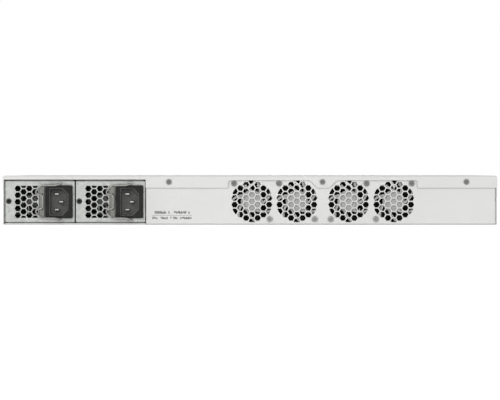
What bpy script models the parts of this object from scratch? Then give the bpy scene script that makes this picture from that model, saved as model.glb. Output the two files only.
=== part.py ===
"""A rackmount network switch, one rack unit high, with two plug-in power supplies and four fans.

Frame: +X is to the right when facing the port side, +Y points to the rear (fans and power supplies), +Z is up.
The origin is the centre of the footprint, on the underside. All lengths are in metres.
"""

import math

import bmesh
import bpy
from mathutils import Matrix, Vector

# ---- Driving dimensions ------------------------------------------------------------------------------------
WIDTH = 0.443            # case, fits between the posts of a 19-inch rack
HEIGHT = 0.044           # one rack unit
DEPTH = 0.300            # front panel to the cover's rear lip
HINGE_EARS = 0.0042      # how far the power supplies' hinge ears reach past the rear lip
SHEET = 0.001            # painted steel sheet
THIN_SHEET = 0.0008      # plated steel sheet of the power supplies
GAP = 0.0003             # clearance kept between neighbouring pieces

FRONT_Y = -(DEPTH + HINGE_EARS) / 2
REAR_Y = FRONT_Y + DEPTH
HALF = WIDTH / 2
SIDE_IN = HALF - SHEET               # inner face of the cover's sides
TOP_IN = HEIGHT - SHEET              # inner face of the cover's top
FRONT_PLATE = 0.0015
FRONT_IN = FRONT_Y + FRONT_PLATE

# ---- Rear face ---------------------------------------------------------------------------------------------
LIP_IN = REAR_Y - THIN_SHEET
PANEL_OUT = LIP_IN - GAP
PANEL_IN = PANEL_OUT - SHEET
LIP_LOW = 0.0331         # lower edge of the cover's rear lip
LIP_HIGH = 0.0398        # the same above the fans
LIP_BAY = 0.0405         # the same above the power supplies
HEM = 0.0015             # height of the tray's rear edge under the power supplies

# ---- Fans, 40 mm square ------------------------------------------------------------------------------------
FAN_X = (-0.0017, -0.0420, -0.0884, -0.1288)
FAN_Z = 0.0210
FAN_HALF = 0.0198
FAN_DEPTH = 0.028
FAN_Y = PANEL_IN - GAP - FAN_DEPTH / 2
FAN_HOLE = 0.0160        # half the spacing of the screw holes
DUCT_R = 0.0188
HUB_R = 0.0099
SCREW_CORNERS = ((1, 1), (1, 1), (-1, 1), (-1, 1))   # each fan's upper screw; the lower one is opposite

# ---- Hexagonal perforation ---------------------------------------------------------------------------------
HEX_PITCH = 0.00595
HEX_STEP = HEX_PITCH * math.sqrt(3) / 2
HEX_FLATS = 0.0050
GRILLE_R = 0.0186

# ---- Plug-in power supplies --------------------------------------------------------------------------------
PSU_X = (0.1881, 0.1249)
PSU_Y = REAR_Y - 0.0006  # outer face of the module's end plate
PSU_Z = 0.0025           # underside of the module
PSU_W, PSU_H, PSU_L = 0.0620, 0.0364, 0.188
PSU_MID = 0.0181          # height of the inlet's middle above the module's underside
INLET_X = -0.0170        # inlet centre, in the module's own frame
FLANGE_W, FLANGE_H = 0.0245, 0.0294
BODY_W, BODY_H = 0.0198, 0.0270
LATCH_LOW, LATCH_HIGH = -0.0044, 0.0010
VENT_X = 0.0199          # outermost column of the vent
VENT_COLUMNS = 4
VENT_HALF = 0.0144
BAIL_X, BAIL_Y = -0.0180, 0.0030
BAIL_WIRE = 0.0007
BAIL_ARM = 0.0146        # height of the arms above and below the middle, across the inlet's flange
BAIL_PIVOT = 0.0157      # the same where they bend out to their pivots
BAIL_NOTCH, NOTCH_END = 0.0150, 0.0164      # where the notches behind the bail's pivots begin and end, likewise
EAR_TOP = 0.0175          # the hinge ears' outer faces, above and below the middle
LATCH_HALF = 0.0138       # half the height of the latch's opening
LOCK_SCREW_X, LOCK_SCREW_Z = 0.0280, PSU_MID + 0.0005
CARD_Z = 0.0060          # underside of the module's circuit board
CARD_EDGE = 0.0080       # how far the board's contact edge reaches out

# ---- Boards and ports --------------------------------------------------------------------------------------
BOARD_LOW, BOARD_TOP = 0.0050, 0.0066
PORT_LOW = BOARD_TOP + GAP
PORT_HIGH = 0.0339
PORT_MID = (PORT_LOW + PORT_HIGH) / 2
JACK_PITCH = 0.0140
JACK_X = {"management_jack": (-0.1970, 1), "rj45_block_1": (-0.1460, 5), "rj45_block_2": (-0.0700, 5)}
JACK_DEPTH = 0.0210
CAGE_X = {"sfp_cage": (-0.0108, 2, 0.0138), "qsfp_cage": (0.0227, 1, 0.0190)}
CAGE_WALL = 0.0010
CAGE_DEPTH = 0.0480
CAGE_SLOT_H = 0.0090
CAGE_ROW = 0.0068        # height of each row's middle above and below the ports' middle
PORT_SET_BACK = 0.0002   # the ports' faces stand this far behind the front panel's face
RESET_X, RESET_Z = -0.2130, 0.0120


# ---- Materials ---------------------------------------------------------------------------------------------
def material(name, colour, roughness, metallic=0.0):
    made = bpy.data.materials.new(name)
    made.use_nodes = True
    shader = made.node_tree.nodes["Principled BSDF"]
    shader.inputs["Base Color"].default_value = (*colour, 1.0)
    shader.inputs["Roughness"].default_value = roughness
    shader.inputs["Metallic"].default_value = metallic
    return made


def make_materials():
    return {
        "white_paint": material("white_paint", (0.76, 0.76, 0.75), 0.5),
        "plated_steel": material("plated_steel", (0.58, 0.59, 0.57), 0.42, 0.8),
        "bright_wire": material("bright_wire", (0.72, 0.72, 0.71), 0.22, 1.0),
        "screw_steel": material("screw_steel", (0.36, 0.36, 0.35), 0.38, 0.9),
        "black_plastic": material("black_plastic", (0.030, 0.030, 0.031), 0.45),
        "grey_plastic": material("grey_plastic", (0.42, 0.42, 0.41), 0.5),
        "board_green": material("board_green", (0.02, 0.11, 0.05), 0.45),
        "aluminium": material("aluminium", (0.62, 0.63, 0.64), 0.35, 0.9),
        "ferrite": material("ferrite", (0.16, 0.13, 0.05), 0.6),
    }


# ---- Shape helpers -----------------------------------------------------------------------------------------
def add_box(bm, low, high):
    low, high = Vector(low), Vector(high)
    size = high - low
    place = Matrix.Translation((low + high) / 2) @ Matrix.Diagonal((*size, 1.0))
    bmesh.ops.create_cube(bm, size=1.0, matrix=place)


def box(low, high):
    bm = bmesh.new()
    add_box(bm, low, high)
    return bm


AXIS_ORDER = {"X": (1, 2, 0), "Y": (0, 2, 1), "Z": (0, 1, 2)}


def add_prism(bm, outline, axis, start, end):
    """Extrudes an outline along an axis. Its points are (y, z), (x, z) or (x, y) for axis X, Y or Z."""
    first, second, along = AXIS_ORDER[axis]

    def vertex(point, level):
        co = [0.0, 0.0, 0.0]
        co[first], co[second], co[along] = point[0], point[1], level
        return bm.verts.new(co)

    lower = [vertex(point, start) for point in outline]
    upper = [vertex(point, end) for point in outline]
    faces = [bm.faces.new(lower), bm.faces.new(list(reversed(upper)))]
    for i in range(len(outline)):
        j = (i + 1) % len(outline)
        faces.append(bm.faces.new((lower[j], lower[i], upper[i], upper[j])))
    bmesh.ops.recalc_face_normals(bm, faces=faces)


def prism(outline, axis, start, end):
    bm = bmesh.new()
    add_prism(bm, outline, axis, start, end)
    return bm


def circle(centre, radius, sides, turn=0.0):
    return [
        (
            centre[0] + radius * math.cos(turn + 2 * math.pi * i / sides),
            centre[1] + radius * math.sin(turn + 2 * math.pi * i / sides),
        )
        for i in range(sides)
    ]


def hexagon(x, z, flats=HEX_FLATS):
    """Flat above and below, with a corner to each side."""
    return circle((x, z), flats / math.sqrt(3), 6)


def long_hexagon(x, z, half_width, half_height):
    """An upright slot with pointed ends."""
    point = half_width / math.sqrt(3)
    side = half_height - point
    return [
        (x - half_width, z - side),
        (x, z - half_height),
        (x + half_width, z - side),
        (x + half_width, z + side),
        (x, z + half_height),
        (x - half_width, z + side),
    ]


def add_cone(bm, centre, axis, radius_start, radius_end, start, end, sides):
    """A turned frustum along Y or Z, from one level to another."""
    first, second, along = AXIS_ORDER[axis]
    rings = []
    for radius, level in ((radius_start, start), (radius_end, end)):
        ring = []
        for point in circle(centre, radius, sides):
            co = [0.0, 0.0, 0.0]
            co[first], co[second], co[along] = point[0], point[1], level
            ring.append(bm.verts.new(co))
        rings.append(ring)
    faces = [bm.faces.new(rings[0]), bm.faces.new(list(reversed(rings[1])))]
    for i in range(sides):
        j = (i + 1) % sides
        faces.append(bm.faces.new((rings[0][j], rings[0][i], rings[1][i], rings[1][j])))
    bmesh.ops.recalc_face_normals(bm, faces=faces)


def mesh_of(name, bm):
    mesh = bpy.data.meshes.new(name)
    bm.to_mesh(mesh)
    bm.free()
    return mesh


def combine(name, base, *steps):
    """The mesh of a base shape after a row of Boolean steps, each ("UNION", bm), ("DIFFERENCE", bm) or
    ("INTERSECT", bm)."""
    subject = bpy.data.objects.new(name, mesh_of(name, base))
    bpy.context.scene.collection.objects.link(subject)
    helpers = []
    for number, (operation, bm) in enumerate(steps):
        helper = bpy.data.objects.new(f"{name}_step_{number}", mesh_of(f"{name}_step_{number}", bm))
        bpy.context.scene.collection.objects.link(helper)
        helpers.append(helper)
        modifier = subject.modifiers.new(f"step_{number}", "BOOLEAN")
        modifier.operation = operation
        modifier.solver = "EXACT"
        modifier.use_self = True
        modifier.object = helper
    bpy.context.view_layer.update()
    evaluated = subject.evaluated_get(bpy.context.evaluated_depsgraph_get())
    made = bpy.data.meshes.new_from_object(evaluated)
    for helper in (subject, *helpers):
        old = helper.data
        bpy.data.objects.remove(helper)
        bpy.data.meshes.remove(old)
    made.name = name
    return made


def bm_from(mesh):
    bm = bmesh.new()
    bm.from_mesh(mesh)
    bpy.data.meshes.remove(mesh)
    return bm


def put(name, mesh, finish, parent=None, location=(0.0, 0.0, 0.0), smooth=False):
    """One node of the model."""
    made = bpy.data.objects.new(name, mesh)
    bpy.context.scene.collection.objects.link(made)
    if not mesh.materials:
        mesh.materials.append(finish)
    if smooth:
        mesh.shade_smooth()
        mesh.set_sharp_from_angle(angle=math.radians(35))
    made.parent = parent
    made.location = location
    return made


def empty(name, location):
    made = bpy.data.objects.new(name, None)
    bpy.context.scene.collection.objects.link(made)
    made.location = location
    return made


def tube(name, route, radius, sides):
    """The mesh of a round wire along a route, with closed ends."""
    bm = bmesh.new()
    rings = []
    heading = (route[1] - route[0]).normalized()
    side = heading.orthogonal().normalized()
    for i, point in enumerate(route):
        before, after = route[max(i - 1, 0)], route[min(i + 1, len(route) - 1)]
        turned = (after - before).normalized()
        side = heading.rotation_difference(turned) @ side
        heading = turned
        across = heading.cross(side)
        rings.append([bm.verts.new(point + radius * (side * u + across * v)) for u, v in circle((0, 0), 1.0, sides)])
    faces = [bm.faces.new(rings[0]), bm.faces.new(rings[-1])]
    for one, other in zip(rings, rings[1:]):
        faces += [bm.faces.new((one[i - 1], one[i], other[i], other[i - 1])) for i in range(sides)]
    bmesh.ops.recalc_face_normals(bm, faces=faces)
    return mesh_of(name, bm)


def rounded(points, radius, steps):
    """A row of points with each inner corner replaced by an arc of the given radius, or less where it must fit."""
    points = [Vector(p) for p in points]
    path = [points[0]]
    for before, corner, after in zip(points, points[1:], points[2:]):
        into, out = (before - corner).normalized(), (after - corner).normalized()
        half = into.angle(out) / 2
        reach = min(radius / math.tan(half), 0.45 * (before - corner).length, 0.45 * (after - corner).length)
        bend = reach * math.tan(half)
        centre = corner + (into + out).normalized() * (bend / math.sin(half))
        start, end = (corner + into * reach - centre).normalized(), (corner + out * reach - centre).normalized()
        path += [centre + bend * start.slerp(end, i / steps) for i in range(steps + 1)]
    return path + [points[-1]]


# ---- Sheet-metal case --------------------------------------------------------------------------------------
CAGE_END = PSU_Y - PSU_L - CARD_EDGE - 0.004     # where the power supplies' bay ends, towards the front
FLANGE_HIGH = 0.012
STANDOFF_R = 0.003
STANDOFFS = ((-0.205, -0.120), (-0.205, 0.090), (0.0, -0.120), (0.075, 0.090), (0.205, -0.120), (0.205, -0.070))


def base_tray(finish):
    """Floor with short side flanges, board standoffs and a raised rear edge under the power supplies."""
    edge = SIDE_IN - GAP
    front = FRONT_IN + GAP
    floor_end = PANEL_IN - GAP
    floor = box((-edge, front, 0), (edge, floor_end, SHEET))
    left = box((-edge, front, 0), (-edge + THIN_SHEET, floor_end, FLANGE_HIGH))
    right = box((edge - THIN_SHEET, front, 0), (edge, CAGE_END - 0.004, FLANGE_HIGH))
    hem_start = PSU_X[1] - PSU_W / 2 - 0.0004
    hem_floor = box((hem_start, floor_end - 0.002, 0), (edge, PANEL_OUT, SHEET))
    hem = box((hem_start, PANEL_IN, 0), (edge, PANEL_OUT, HEM))
    posts = bmesh.new()
    for x, y in STANDOFFS:
        add_cone(posts, (x, y), "Z", STANDOFF_R, STANDOFF_R, SHEET / 2, BOARD_LOW - GAP / 2, 8)
    mesh = combine(
        "base_tray", floor, ("UNION", left), ("UNION", right), ("UNION", hem_floor), ("UNION", hem), ("UNION", posts)
    )
    put("base_tray", mesh, finish)


def lip_cutter():
    """What is cut away below the cover's rear lip: deep over the plain panel, shallow over the power supplies and
    each pair of fans. A pair's edge stands square beside an upper screw and slopes where there is none."""
    below = -0.002
    slope = LIP_HIGH - LIP_LOW
    corner = 0.0025
    first, last = PSU_X[1] - PSU_W / 2 - 0.0004, -SIDE_IN
    pair_a = (FAN_X[0] + FAN_X[1]) / 2
    pair_b = (FAN_X[2] + FAN_X[3]) / 2
    square, sloped = 0.0414, 0.0385
    outline = [
        (SIDE_IN, below),
        (SIDE_IN, LIP_BAY),
        (first, LIP_BAY),
        (first, LIP_LOW),
        (pair_a + square, LIP_LOW),
        (pair_a + square, LIP_HIGH - corner),
        (pair_a + square - corner, LIP_HIGH),
        (pair_a - sloped + slope, LIP_HIGH),
        (pair_a - sloped, LIP_LOW),
        (pair_b + sloped - 0.001, LIP_LOW),
        (pair_b + sloped - 0.001 - slope, LIP_HIGH),
        (pair_b - square + corner, LIP_HIGH),
        (pair_b - square, LIP_HIGH - corner),
        (pair_b - square, LIP_LOW),
        (last, LIP_LOW),
        (last, below),
    ]
    return prism(outline, "Y", LIP_IN - 0.001, REAR_Y + 0.001)


EAR_HOLES = [(FRONT_Y + 0.014 + 0.016 * i, z) for i in range(2) for z in (0.010, 0.034)]
SIDE_SLOTS = 12
SIDE_SLOT_START = FRONT_Y + 0.060
SIDE_SLOT_STEP = 0.0075
COVER_SCREWS = ((0.0726, 0.0384), (-0.0649, 0.0384), (-0.1938, 0.0384))


def top_cover(finish):
    """Top, both sides and the rear lip, folded from one sheet."""
    front = FRONT_IN + GAP
    shell = box((-HALF, front, GAP), (HALF, REAR_Y, HEIGHT))
    hollow = box((-SIDE_IN, front - 0.002, -0.002), (SIDE_IN, LIP_IN, TOP_IN))
    sides = bmesh.new()
    for end in (-1, 1):
        near, far = sorted((end * (SIDE_IN - 0.001), end * (HALF + 0.001)))
        for i in range(SIDE_SLOTS):
            slot = long_hexagon(SIDE_SLOT_START + i * SIDE_SLOT_STEP, 0.024, 0.0019, 0.0115)
            add_prism(sides, slot, "X", near, far)
        for y, z in EAR_HOLES:
            add_prism(sides, circle((y, z), 0.0021, 8), "X", near, far)
    screws = bmesh.new()
    for x, z in COVER_SCREWS:
        add_prism(screws, circle((x, z), 0.0018, 10), "Y", LIP_IN - 0.001, REAR_Y + 0.001)
    mesh = combine(
        "top_cover",
        shell,
        ("DIFFERENCE", hollow),
        ("DIFFERENCE", lip_cutter()),
        ("DIFFERENCE", sides),
        ("DIFFERENCE", screws),
    )
    put("top_cover", mesh, finish)


def hexagon_field(centre_x, centre_z, start, end):
    """Hexagonal prisms on a staggered grid, each one that lies wholly inside the grille's circle."""
    bm = bmesh.new()
    for column in range(-3, 4):
        offset = 0.5 if column % 2 else 0.0
        for row in range(-3, 4):
            x, z = column * HEX_STEP, (row + offset) * HEX_PITCH
            if math.hypot(x, z) + HEX_FLATS / 2 < GRILLE_R:
                add_prism(bm, hexagon(centre_x + x, centre_z + z), "Y", start, end)
    return bm


def fan_screw_places():
    for x, (sx, sz) in zip(FAN_X, SCREW_CORNERS):
        for end in (1, -1):
            yield x + end * sx * FAN_HOLE, FAN_Z + end * sz * FAN_HOLE


def rear_panel(finish):
    """Flat plate behind the fans, with a hexagonal grille over each."""
    start, end = PANEL_IN - 0.001, PANEL_OUT + 0.001
    plate = box((-SIDE_IN + GAP, PANEL_IN, 0), (PSU_X[1] - PSU_W / 2 - 0.0008, PANEL_OUT, TOP_IN - GAP))
    cuts = [("DIFFERENCE", hexagon_field(x, FAN_Z, start, end)) for x in FAN_X]
    holes = bmesh.new()
    for x, z in fan_screw_places():
        add_prism(holes, circle((x, z), 0.0018, 8), "Y", start, end)
    for x, z in COVER_SCREWS:
        add_prism(holes, circle((x, z), 0.0017, 8), "Y", start, end)
    put("rear_panel", combine("rear_panel", plate, *cuts, ("DIFFERENCE", holes)), finish)


VENT_SLOTS = 24
VENT_START, VENT_STEP = 0.0480, 0.0062


def front_panel(finish):
    """Front plate with a window for each block of ports, air slots and short flanges behind its ends."""
    plate = box((-HALF, FRONT_Y, 0), (HALF, FRONT_IN, HEIGHT))
    tabs = []
    for end in (-1, 1):
        near, far = sorted((end * (SIDE_IN - GAP), end * (SIDE_IN - GAP - SHEET)))
        tabs.append(("UNION", box((near, FRONT_IN - 0.0005, 0.0135), (far, FRONT_IN + 0.010, 0.0405))))
    through = bmesh.new()
    start, end = FRONT_Y - 0.001, FRONT_IN + 0.001
    blocks = [(x, columns * JACK_PITCH / 2 + 0.001) for x, columns in JACK_X.values()]
    blocks += [(x, cage_half_width(columns, slot)) for x, columns, slot in CAGE_X.values()]
    for x, half in blocks:
        add_box(through, (x - half - GAP, start, PORT_LOW - GAP), (x + half + GAP, end, PORT_HIGH + GAP))
    for i in range(VENT_SLOTS):
        slot = long_hexagon(VENT_START + i * VENT_STEP, PORT_MID + 0.0012, 0.0019, 0.0125)
        add_prism(through, slot, "Y", start, end)
    add_prism(through, circle((RESET_X, RESET_Z), 0.0015, 12), "Y", start, end)
    put("front_panel", combine("front_panel", plate, *tabs, ("DIFFERENCE", through)), finish)


def psu_cage(finish):
    """Inverted comb that guides both power supplies: a top plate over an outer wall, a divider and an inner wall.
    The outer wall runs on to the rear."""
    low = SHEET + GAP
    top_low, top_high = PSU_Z + PSU_H + 0.0014, PSU_Z + PSU_H + 0.0022
    outer = SIDE_IN - GAP
    divider = (PSU_X[0] + PSU_X[1]) / 2
    inner = PSU_X[1] - PSU_W / 2 - 0.0004
    wall = 0.0006
    outline = [
        (outer, low),
        (outer, top_high),
        (inner - wall, top_high),
        (inner - wall, low),
        (inner, low),
        (inner, top_low),
        (divider - wall / 2, top_low),
        (divider - wall / 2, low),
        (divider + wall / 2, low),
        (divider + wall / 2, top_low),
        (outer - wall, top_low),
        (outer - wall, low),
    ]
    rear = PANEL_IN - 0.006
    body = prism(outline, "Y", CAGE_END, rear)
    run_on = box((outer - wall, rear - 0.001, HEM + GAP), (outer, PANEL_OUT, LIP_BAY - 2 * GAP))
    put("psu_cage", combine("psu_cage", body, ("UNION", run_on)), finish)


# ---- Fasteners ---------------------------------------------------------------------------------------------
def screw_mesh(name, head_r, head_h, shank_r, shank_l):
    """A pan-head screw, its head's underside at the origin and its shank towards -Y."""
    head = bmesh.new()
    add_cone(head, (0, 0), "Y", head_r, head_r * 0.80, 0.0, head_h, 12)
    shank = bmesh.new()
    add_cone(shank, (0, 0), "Y", shank_r, shank_r, -shank_l, head_h / 2, 6)
    return combine(name, head, ("UNION", shank))


def screws(finish):
    fan_screw = screw_mesh("fan_screw", 0.00255, 0.0011, 0.0014, 0.0055)
    for number, (x, z) in enumerate(fan_screw_places()):
        place = "upper" if number % 2 == 0 else "lower"
        name = f"fan_{number // 2 + 1}_{place}_screw"
        put(name, fan_screw, finish, location=(x, PANEL_OUT + GAP / 2, z), smooth=True)
    cover_screw = screw_mesh("cover_screw", 0.0026, 0.0010, 0.0014, 0.0050)
    for number, (x, z) in enumerate(COVER_SCREWS):
        put(f"cover_screw_{number + 1}", cover_screw, finish, location=(x, REAR_Y + GAP / 2, z), smooth=True)


# ---- Fans --------------------------------------------------------------------------------------------------
VANES = 7
VANE_TURN, VANE_SWEEP = math.radians(39), math.radians(-40)
BLADES = 7
HUB_REAR = FAN_DEPTH / 2 - 0.0020
BEARING_FRONT = -0.0060


def curved_vane(turn):
    """Outline of a thin vane that sweeps from the hub to the duct, in the fan's plane."""
    inner, outer, half = HUB_R - 0.0010, DUCT_R + 0.0005, 0.0012
    steps = 3
    one_side, other_side = [], []
    for i in range(steps + 1):
        share = i / steps
        radius = inner + (outer - inner) * share
        angle = turn + VANE_SWEEP * share**0.8
        offset = half / radius
        one_side.append((radius * math.cos(angle - offset), radius * math.sin(angle - offset)))
        other_side.append((radius * math.cos(angle + offset), radius * math.sin(angle + offset)))
    return one_side + list(reversed(other_side))


def fan_frame_mesh():
    """Square flanges joined by a round barrel, with the motor's seat held by curved vanes on the rear side."""
    end = FAN_DEPTH / 2
    flange = 0.0040
    front = box((-FAN_HALF, -end, -FAN_HALF), (FAN_HALF, -end + flange, FAN_HALF))
    rear = box((-FAN_HALF, end - flange, -FAN_HALF), (FAN_HALF, end, FAN_HALF))
    barrel = prism(octagon(0, 0, FAN_HALF - 0.0001, FAN_HALF - 0.0001, 0.0100), "Y", -end + flange / 2, end - flange / 2)
    duct = prism(circle((0, 0), DUCT_R, 24), "Y", -end - 0.001, end + 0.001)
    holes = bmesh.new()
    for sx in (-1, 1):
        for sz in (-1, 1):
            add_prism(holes, circle((sx * FAN_HOLE, sz * FAN_HOLE), 0.0017, 6), "Y", 0, end + 0.001)
    notch = box((-0.0035, end - 0.0022, DUCT_R - 0.0030), (0.0035, end + 0.001, FAN_HALF + 0.001))
    seat = bmesh.new()
    add_prism(seat, circle((0, 0), HUB_R, 20), "Y", HUB_REAR - 0.0050, HUB_REAR)
    vanes = bmesh.new()
    for i in range(VANES):
        add_prism(vanes, curved_vane(VANE_TURN + 2 * math.pi * i / VANES), "Y", HUB_REAR - 0.0045, HUB_REAR)
    bearing = prism(circle((0, 0), 0.0032, 10), "Y", BEARING_FRONT, HUB_REAR - 0.003)
    bore = prism(circle((0, 0), 0.0018, 10), "Y", BEARING_FRONT - 0.001, HUB_REAR - 0.0015)
    return combine(
        "fan_frame",
        front,
        ("UNION", rear),
        ("UNION", barrel),
        ("DIFFERENCE", duct),
        ("DIFFERENCE", holes),
        ("DIFFERENCE", notch),
        ("UNION", seat),
        ("UNION", vanes),
        ("UNION", bearing),
        ("DIFFERENCE", bore),
    )


def blade(bm, turn):
    """One twisted blade from the rotor's hub to just inside the duct."""
    rings = []
    for radius, pitch, chord in ((0.0080, 50, 0.0100), (0.0195, 62, 0.0125)):
        half_chord, half_thick = chord / 2, 0.0004
        lean = math.radians(pitch)
        along = Vector((math.sin(lean), math.cos(lean)))
        across = Vector((along.y, -along.x))
        ring = []
        for a, b in ((-1, -1), (1, -1), (1, 1), (-1, 1)):
            flat = along * (a * half_chord) + across * (b * half_thick)
            local = Vector((flat.x, -0.0030 + flat.y, radius))
            ring.append(bm.verts.new(Matrix.Rotation(turn, 3, "Y") @ local))
        rings.append(ring)
    faces = [bm.faces.new(rings[0]), bm.faces.new(list(reversed(rings[1])))]
    for i in range(4):
        j = (i + 1) % 4
        faces.append(bm.faces.new((rings[0][j], rings[0][i], rings[1][i], rings[1][j])))
    bmesh.ops.recalc_face_normals(bm, faces=faces)


def fan_rotor_mesh():
    """Cup-shaped hub on a shaft, with twisted blades."""
    cup = prism(circle((0, 0), 0.0098, 16), "Y", -0.0120, 0.0060)
    inside = prism(circle((0, 0), 0.0087, 16), "Y", -0.0108, 0.0080)
    shaft = prism(circle((0, 0), 0.0014, 8), "Y", -0.0115, 0.0090)
    blades = bmesh.new()
    for i in range(BLADES):
        blade(blades, 2 * math.pi * i / BLADES)
    keep_out = prism(circle((0, 0), 0.0092, 16), "Y", -0.0130, 0.0090)
    tips = prism(circle((0, 0), 0.0181, 24), "Y", -0.0130, 0.0110)
    outer = combine("blades", blades, ("DIFFERENCE", keep_out), ("INTERSECT", tips))
    return combine("fan_rotor", cup, ("DIFFERENCE", inside), ("UNION", shaft), ("UNION", bm_from(outer)))


def fans(finishes):
    frame_mesh, rotor_mesh = fan_frame_mesh(), fan_rotor_mesh()
    for number, x in enumerate(FAN_X, 1):
        place = (x, FAN_Y, FAN_Z)
        put(f"fan_{number}_frame", frame_mesh, finishes["grey_plastic"], location=place, smooth=True)
        put(f"fan_{number}_rotor", rotor_mesh, finishes["black_plastic"], location=place, smooth=True)


# ---- Power supplies ----------------------------------------------------------------------------------------
def octagon(x, z, half_w, half_h, cut):
    return [
        (x - half_w + cut, z - half_h),
        (x + half_w - cut, z - half_h),
        (x + half_w, z - half_h + cut),
        (x + half_w, z + half_h - cut),
        (x + half_w - cut, z + half_h),
        (x - half_w + cut, z + half_h),
        (x - half_w, z + half_h - cut),
        (x - half_w, z - half_h + cut),
    ]


EAR_SHEET = 0.0007


def psu_case_mesh():
    """Open box with the module's end plate: vent, inlet and latch windows, two hinge ears and a countersink."""
    half = PSU_W / 2
    shell = box((-half, -PSU_L, 0), (half, 0, PSU_H))
    hollow = box((-half + THIN_SHEET, -PSU_L - 0.002, THIN_SHEET), (half - THIN_SHEET, -SHEET, PSU_H + 0.002))
    ears = bmesh.new()
    for low in (PSU_MID - EAR_TOP, PSU_MID + EAR_TOP - EAR_SHEET):
        add_box(ears, (BAIL_X - 0.0020, -SHEET / 2, low), (BAIL_X + 0.0020, BAIL_Y + 0.0018, low + EAR_SHEET))
    cells = bmesh.new()
    for column in range(VENT_COLUMNS):
        offset = 0.5 if column % 2 else 0.0
        for row in range(-3, 4):
            z = PSU_MID + (row + offset) * HEX_PITCH
            if abs(z - PSU_MID) < VENT_HALF + HEX_FLATS / 2 - 0.0004:
                add_prism(cells, hexagon(VENT_X - column * HEX_STEP, z), "Y", -0.002, 0.001)
    window = box((0.0, -0.003, PSU_MID - VENT_HALF), (half, 0.002, PSU_MID + VENT_HALF))
    vent = bm_from(combine("vent", cells, ("INTERSECT", window)))
    cut_w, cut_h = BODY_W / 2 + 0.0002, BODY_H / 2 + 0.0002
    openings = box((INLET_X - cut_w, -0.002, PSU_MID - cut_h), (INLET_X + cut_w, 0.001, PSU_MID + cut_h))
    add_box(openings, (LATCH_LOW, -0.002, PSU_MID - LATCH_HALF), (LATCH_HIGH, 0.001, PSU_MID + LATCH_HALF))
    add_prism(openings, circle((BAIL_X, BAIL_Y), BAIL_WIRE + 0.0003, 8), "Z", -0.001, PSU_H + 0.001)
    for low, high in ((PSU_MID - NOTCH_END, PSU_MID - BAIL_NOTCH), (PSU_MID + BAIL_NOTCH, PSU_MID + NOTCH_END)):
        add_box(openings, (BAIL_X - 0.0005, -0.002, low), (BAIL_X + 0.0005, 0.001, high))
    sink = bmesh.new()
    add_cone(sink, (LOCK_SCREW_X, LOCK_SCREW_Z), "Y", 0.0016, 0.0029, -0.0014, 0.0002, 12)
    return combine(
        "psu_case",
        shell,
        ("DIFFERENCE", hollow),
        ("UNION", ears),
        ("DIFFERENCE", vent),
        ("DIFFERENCE", openings),
        ("DIFFERENCE", sink),
    )


def psu_lid_mesh():
    """Lid that drops between the case's sides, with a flange down each."""
    half = PSU_W / 2 - THIN_SHEET - GAP
    top = PSU_H - 0.0001
    start, end = -PSU_L + 0.0005, -SHEET - GAP
    outline = [
        (-half, top),
        (-half, top - 0.008),
        (-half + THIN_SHEET, top - 0.008),
        (-half + THIN_SHEET, top - THIN_SHEET),
        (half - THIN_SHEET, top - THIN_SHEET),
        (half - THIN_SHEET, top - 0.008),
        (half, top - 0.008),
        (half, top),
    ]
    return combine("psu_lid", prism(outline, "Y", start, end))


PIN_OFFSET, PIN_SPREAD = 0.0020, 0.0070
SOCKET_W, SOCKET_H = 0.0170, 0.0246
SOCKET_FLOOR = -0.0145
FLANGE_OUT = 0.0021


def inlet_mesh():
    """Mains inlet for a three-pin appliance plug, on its side with the earth pin away from the vent."""
    flange = prism(octagon(INLET_X, PSU_MID, FLANGE_W / 2, FLANGE_H / 2, 0.0012), "Y", GAP / 2, FLANGE_OUT)
    body = box(
        (INLET_X - BODY_W / 2, -0.0190, PSU_MID - BODY_H / 2), (INLET_X + BODY_W / 2, 0.0010, PSU_MID + BODY_H / 2)
    )
    left, right = INLET_X - SOCKET_W / 2, INLET_X + SOCKET_W / 2
    low, high, bevel = PSU_MID - SOCKET_H / 2, PSU_MID + SOCKET_H / 2, 0.0052
    socket_outline = [
        (right, low),
        (right, high),
        (left + bevel, high),
        (left, high - bevel),
        (left, low + bevel),
        (left + bevel, low),
    ]
    socket = prism(socket_outline, "Y", SOCKET_FLOOR, FLANGE_OUT + 0.001)
    pins = bmesh.new()
    for x, z in ((PIN_OFFSET, PIN_SPREAD), (PIN_OFFSET, -PIN_SPREAD), (-PIN_OFFSET, 0.0)):
        low_corner = (INLET_X + x - 0.0020, SOCKET_FLOOR - 0.001, PSU_MID + z - 0.0010)
        add_box(pins, low_corner, (INLET_X + x + 0.0020, -0.0010, PSU_MID + z + 0.0010))
        add_box(pins, (INLET_X + x - 0.0015, -0.0250, PSU_MID + z - 0.0004), (INLET_X + x + 0.0015, -0.0170, PSU_MID + z + 0.0004))
    return combine("inlet", flange, ("UNION", body), ("DIFFERENCE", socket), ("UNION", pins))


def bail_route():
    """The wire bail, folded flat beside the inlet: two arms and an end that bows in to hold a plug's cable."""
    tip = 0.0218
    upper = [
        (0, 0, BAIL_PIVOT + 0.0015),
        (0, 0, BAIL_PIVOT),
        (0.0050, 0, BAIL_ARM),
        (0.0165, 0, BAIL_ARM),
        (tip - 0.0006, 0, 0.0100),
        (tip, 0, 0.0074),
        (tip - 0.0062, 0, 0.0058),
    ]
    lower = [(x, y, -z) for x, y, z in reversed(upper)]
    return rounded(upper + lower, 0.0016, 2)


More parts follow.
